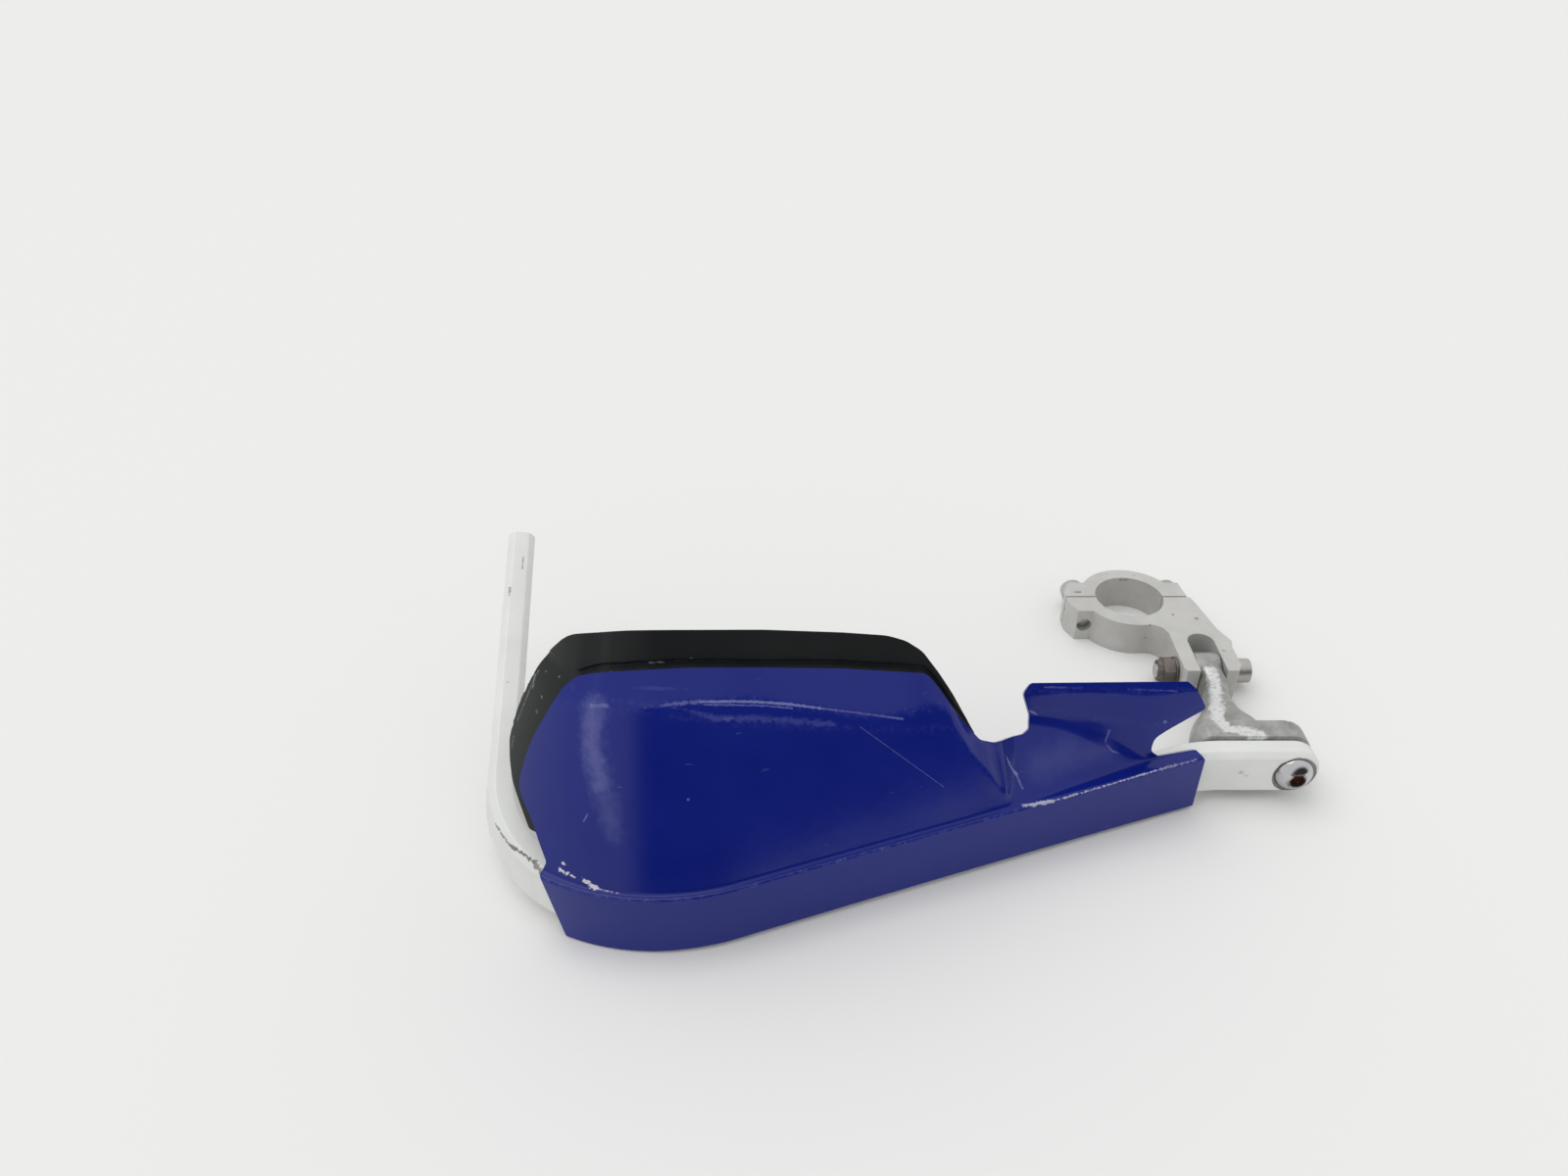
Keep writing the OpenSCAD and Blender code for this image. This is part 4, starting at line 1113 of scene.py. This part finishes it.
def blue_shell():
    material, tree, shader, where = new_material("moulded_blue_gloss")
    mottle = mask_of(tree, MOTTLE, Vector=where, Scale=22.0)
    fine = mask_of(tree, SCRATCHES, Vector=where, Scale=30.0, Share=0.22)
    dots = mask_of(tree, SPECKS, Vector=where, Scale=220.0, Size=0.16, Share=0.05)
    # rubbed lines and scratches, with painted highlights on the left bulge and in the scoop
    rubs_and_highlights = streaks(tree, where, SHIELD_RUBS_AND_HIGHLIGHTS)
    chips = streaks(tree, where, SHIELD_CHIPS)
    # dust on the scoop floor, with painted light where it faces up
    dust_and_painted_light = streaks(tree, where, SCOOP_DUST_AND_PAINTED_LIGHT)
    # edge wear with a painted highlight along the ledge and the creases
    rim = worn_rim_and_highlight(tree, where, 500.0, 0.42, 0.75)
    colour = mix_colour(tree, mottle, (0.0025, 0.0095, 0.165, 1), (0.0034, 0.0118, 0.190, 1))
    colour = layered(tree, colour, (
        (dust_and_painted_light, 0.35, (0.13, 0.14, 0.33)), (fine, 0.10, (0.2, 0.24, 0.5)),
        (dots, 0.35, (0.25, 0.28, 0.55)), (rim, 0.30, (0.22, 0.25, 0.62)),
        (rubs_and_highlights, 0.45, (0.36, 0.38, 0.68)), (chips, 1.0, (0.62, 0.62, 0.70))))
    rough = math_node(tree, "ADD", scaled(tree, mottle, 0.04), 0.14)
    for mask, amount in ((fine, 0.10), (rubs_and_highlights, 0.25), (dust_and_painted_light, 0.25), (chips, 0.4), (rim, 0.2)):
        rough = math_node(tree, "ADD", rough, scaled(tree, mask, amount), clamp=True)
    set_finish(tree, shader, colour, rough, 0.34)
    bump(tree, shader, noise(tree, where, 260.0, 2), 0.00006, 0.5)
    return material


def black_plastic():
    material, tree, shader, where = new_material("satin_black_plastic")
    specks = mask_of(tree, SPECKS, Vector=where, Scale=240.0, Size=0.3, Share=0.07)
    mottle = mask_of(tree, MOTTLE, Vector=where, Scale=30.0)
    # specks and scuffs, with a painted highlight along the bead
    marks_and_bead_highlight = streaks(tree, where, DEFLECTOR_MARKS_AND_BEAD_HIGHLIGHT)
    # edge wear with a painted highlight along the fold and the bead
    rim = worn_rim_and_highlight(tree, where, 300.0, 0.35, 0.7)
    colour = mix_colour(tree, mottle, (0.0060, 0.0080, 0.0085, 1), (0.0085, 0.0110, 0.0115, 1))
    colour = layered(tree, colour, (
        (rim, 0.20, (0.16, 0.18, 0.17)), (specks, 0.35, (0.18, 0.20, 0.17)),
        (marks_and_bead_highlight, 0.6, (0.28, 0.30, 0.26))))
    grain = noise(tree, where, 1500.0, 3)
    rough = math_node(tree, "ADD", scaled(tree, grain, 0.16), 0.42)
    set_finish(tree, shader, colour, rough, 0.28)
    bump(tree, shader, grain, 0.00005, 0.6)
    return material


def silver_paint():
    material, tree, shader, where = new_material("silver_paint", metallic=0.1)
    mottle = mask_of(tree, MOTTLE, Vector=where, Scale=45.0)
    specks = mask_of(tree, SPECKS, Vector=where, Scale=260.0, Size=0.35, Share=0.06)
    fine = mask_of(tree, SCRATCHES, Vector=where, Scale=35.0, Share=0.25)
    # chips, and the painted shade in the ring round the bolt's head
    chips = streaks(tree, where, BAR_CHIPS_AND_RING_SHADE)
    stain = ramp(tree, noise(tree, where, 90.0, 6, 0.7), 0.60, 0.72)
    colour = mix_colour(tree, mottle, (0.70, 0.71, 0.685, 1), (0.76, 0.77, 0.75, 1))
    colour = layered(tree, colour, (
        (fine, 0.2, (0.42, 0.43, 0.40)), (specks, 0.4, (0.25, 0.24, 0.21)),
        (stain, 0.15, (0.42, 0.40, 0.33)), (chips, 0.9, (0.10, 0.095, 0.08))))
    grain = noise(tree, where, 1100.0, 3)
    set_finish(tree, shader, colour, math_node(tree, "ADD", scaled(tree, grain, 0.2), 0.34))
    height = math_node(tree, "SUBTRACT", grain, scaled(tree, chips, 2.0))
    bump(tree, shader, height, 0.00006, 0.6)
    return material


def metal(name, dark, light, rough, metallic, grain_scale=900.0, grain_depth=0.00006, share=0.06,
          stains=()):
    """A metal with an uneven tone, specks and a grain, and rust or dirt where the marks say."""
    material, tree, shader, where = new_material(name, metallic)
    mottle = mask_of(tree, MOTTLE, Vector=where, Scale=70.0)
    specks = mask_of(tree, SPECKS, Vector=where, Scale=330.0, Size=0.38, Share=share)
    colour = mix_colour(tree, mottle, (*dark, 1), (*light, 1))
    colour = layered(tree, colour, ((specks, 0.6, (0.12, 0.115, 0.10)),))
    grain = noise(tree, where, grain_scale, 4)
    rough = math_node(tree, "ADD", scaled(tree, grain, 0.2), rough)
    for lines, tone in stains:
        mask = streaks(tree, where, lines)
        colour = mix_colour(tree, mask, colour, (*tone, 1))
        rough = math_node(tree, "ADD", rough, scaled(tree, mask, 0.35), clamp=True)
    set_finish(tree, shader, colour, rough)
    bump(tree, shader, grain, grain_depth)
    return material


def cast_alloy():
    """Rough casting, dark in its hollows, with a painted highlight along the ridge and the foot's top
    edge.
    """
    material, tree, shader, where = new_material("cast_alloy", metallic=0.75)
    mottle = mask_of(tree, MOTTLE, Vector=where, Scale=160.0)
    pits = ramp(tree, noise(tree, where, 750.0, 5, 0.7), 0.55, 0.7)
    # painted highlight along the neck's top and the foot's top edge, broken by nicks below
    ridge = streaks(tree, where, ARM_RIDGE_HIGHLIGHT)
    nicks = ramp(tree, noise(tree, where, 620.0, 4, 0.65), 0.48, 0.62)
    kept = math_node(tree, "SUBTRACT", 1.0, scaled(tree, nicks, 0.45))
    ridge_highlight = scaled(tree, ridge, kept)
    colour = mix_colour(tree, mottle, (0.30, 0.30, 0.285, 1), (0.44, 0.44, 0.425, 1))
    colour = layered(tree, colour, (
        (pits, 0.45, (0.10, 0.10, 0.095)), (ridge_highlight, 1.0, (0.78, 0.79, 0.79))))
    set_finish(tree, shader, colour, math_node(tree, "SUBTRACT", 0.46, scaled(tree, ridge_highlight, 0.22)))
    drawn = vector_node(tree, "MULTIPLY", where, (0.35, 1.0, 1.0))
    bump(tree, shader, noise(tree, drawn, 900.0, 4, 0.6), 0.0003, 0.8)
    return material


# The finished pieces


def dress(names, material):
    """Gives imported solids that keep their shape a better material."""
    for name in names:
        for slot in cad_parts[name].material_slots:
            slot.material = material


def make_object():
    make_shield(blue_shell())
    make_deflector(black_plastic())
    make_bar(silver_paint())
    make_arm(cast_alloy())
    blasted = metal("blasted_alloy", (0.49, 0.485, 0.465), (0.56, 0.555, 0.535), 0.42, 0.25,
                    grain_scale=1300.0, grain_depth=0.0001,
                    stains=((CLAMP_STAINS, (0.20, 0.17, 0.13)),))
    steel = metal("zinc_steel", (0.40, 0.39, 0.37), (0.55, 0.54, 0.51), 0.25, 0.85)
    rusty = metal("rusty_steel", (0.10, 0.085, 0.075), (0.22, 0.20, 0.18), 0.38, 0.7,
                  grain_scale=700.0, grain_depth=0.0001,
                  stains=((NUT_RUST, (0.10, 0.055, 0.035)),))
    chrome = metal("chrome", (0.55, 0.55, 0.56), (0.62, 0.62, 0.63), 0.04, 1.0,
                   grain_depth=0.00001, share=0.01,
                   stains=((SOCKET_RIM, (0.10, 0.08, 0.07)), (SOCKET_RUST, (0.13, 0.045, 0.02))))
    black = metal("black_steel", (0.03, 0.03, 0.03), (0.05, 0.05, 0.05), 0.3, 0.6)
    brass = metal("brass", (0.6, 0.42, 0.16), (0.7, 0.5, 0.2), 0.25, 1.0)
    for body, slot_name, material, width, nodes in (
            ("clamp", "clamp_alloy", blasted, 0.35, ("clamp_body", "clamp_cap")),
            ("clamp", "screw_steel", steel, 0.2, ("clamp_screw_left", "clamp_screw_right", "fork_bolt")),
            ("clamp", "dark_steel", rusty, 0.25, ("fork_nut", "fork_washer")),
            ("guard", "screw_steel", steel, 0.12, ("shield_screw_inner", "shield_screw_outer",
                                                   "shield_washer_inner", "shield_washer_outer")),
            ("arm", "bolt_chrome", chrome, 0.15, ("pivot_bolt",)),
            ("guard", "black_steel", black, 0.12, ("deflector_screw_inner", "deflector_screw_middle",
                                                   "deflector_screw_outer"))):
        for node in nodes:
            soften_node(node, body, slot_name, material, width)
    dress(("shield_insert_inner", "shield_insert_outer"), brass)


# Studio


FLOOR_FRONT = -0.30
FLOOR_SIZE = 6.0
# Where the panel mirrors something dark, and the cosines at which that dark part starts and is full
DARK_TOWARD = (0.468, -0.879, -0.087)
DARK_START = 0.64
DARK_FULL = 0.82


def make_floor():
    pick_none()
    bpy.ops.mesh.primitive_plane_add(size=FLOOR_SIZE,
                                     location=(0, FLOOR_FRONT + FLOOR_SIZE / 2, SURFACE_Z * MM))
    floor = bpy.context.object
    floor.name = "floor"
    material, tree, shader, _ = new_material("pale_floor")
    set_finish(tree, shader, (0.82, 0.82, 0.81, 1), 0.85, 0.1)
    floor.data.materials.append(material)


def make_world():
    """Even light; what is glossy also mirrors a darker part low in front, as the panel does."""
    world = bpy.data.worlds.new("studio")
    bpy.context.scene.world = world
    world.use_nodes = True
    tree = world.node_tree
    background = tree.nodes["Background"]
    where = tree.nodes.new("ShaderNodeTexCoord").outputs["Generated"]
    aim = vector_node(tree, "DOT_PRODUCT", where, DARK_TOWARD)
    shade = ramp(tree, aim, DARK_START, DARK_FULL)
    mirrored = tree.nodes.new("ShaderNodeLightPath").outputs["Is Glossy Ray"]
    mask = scaled(tree, shade, mirrored)
    tone = mix_colour(tree, mask, (0.79, 0.79, 0.79, 1), (0.03, 0.03, 0.035, 1))
    put(tree, tone, background.inputs["Color"])


def add_sun(name, toward, spread, strength):
    data = bpy.data.lights.new(name, "SUN")
    data.angle = math.radians(spread)
    data.energy = strength
    lamp = bpy.data.objects.new(name, data)
    bpy.context.collection.objects.link(lamp)
    lamp.rotation_euler = Vector(toward).to_track_quat("Z", "Y").to_euler()


def make_camera():
    data = bpy.data.cameras.new("camera")
    data.lens = 27.0
    data.sensor_width = 36.0
    data.clip_start = 0.01
    camera = bpy.data.objects.new("camera", data)
    bpy.context.collection.objects.link(camera)
    camera.location = (-0.1484, -0.4120, 0.3005)
    camera.rotation_euler = (math.radians(55), 0, 0)
    bpy.context.scene.camera = camera


make_object()
make_floor()
make_world()
add_sun("key", (-0.35, 0.10, 0.85), 60.0, 0.85)
make_camera()
bpy.context.scene.view_settings.view_transform = "Standard"
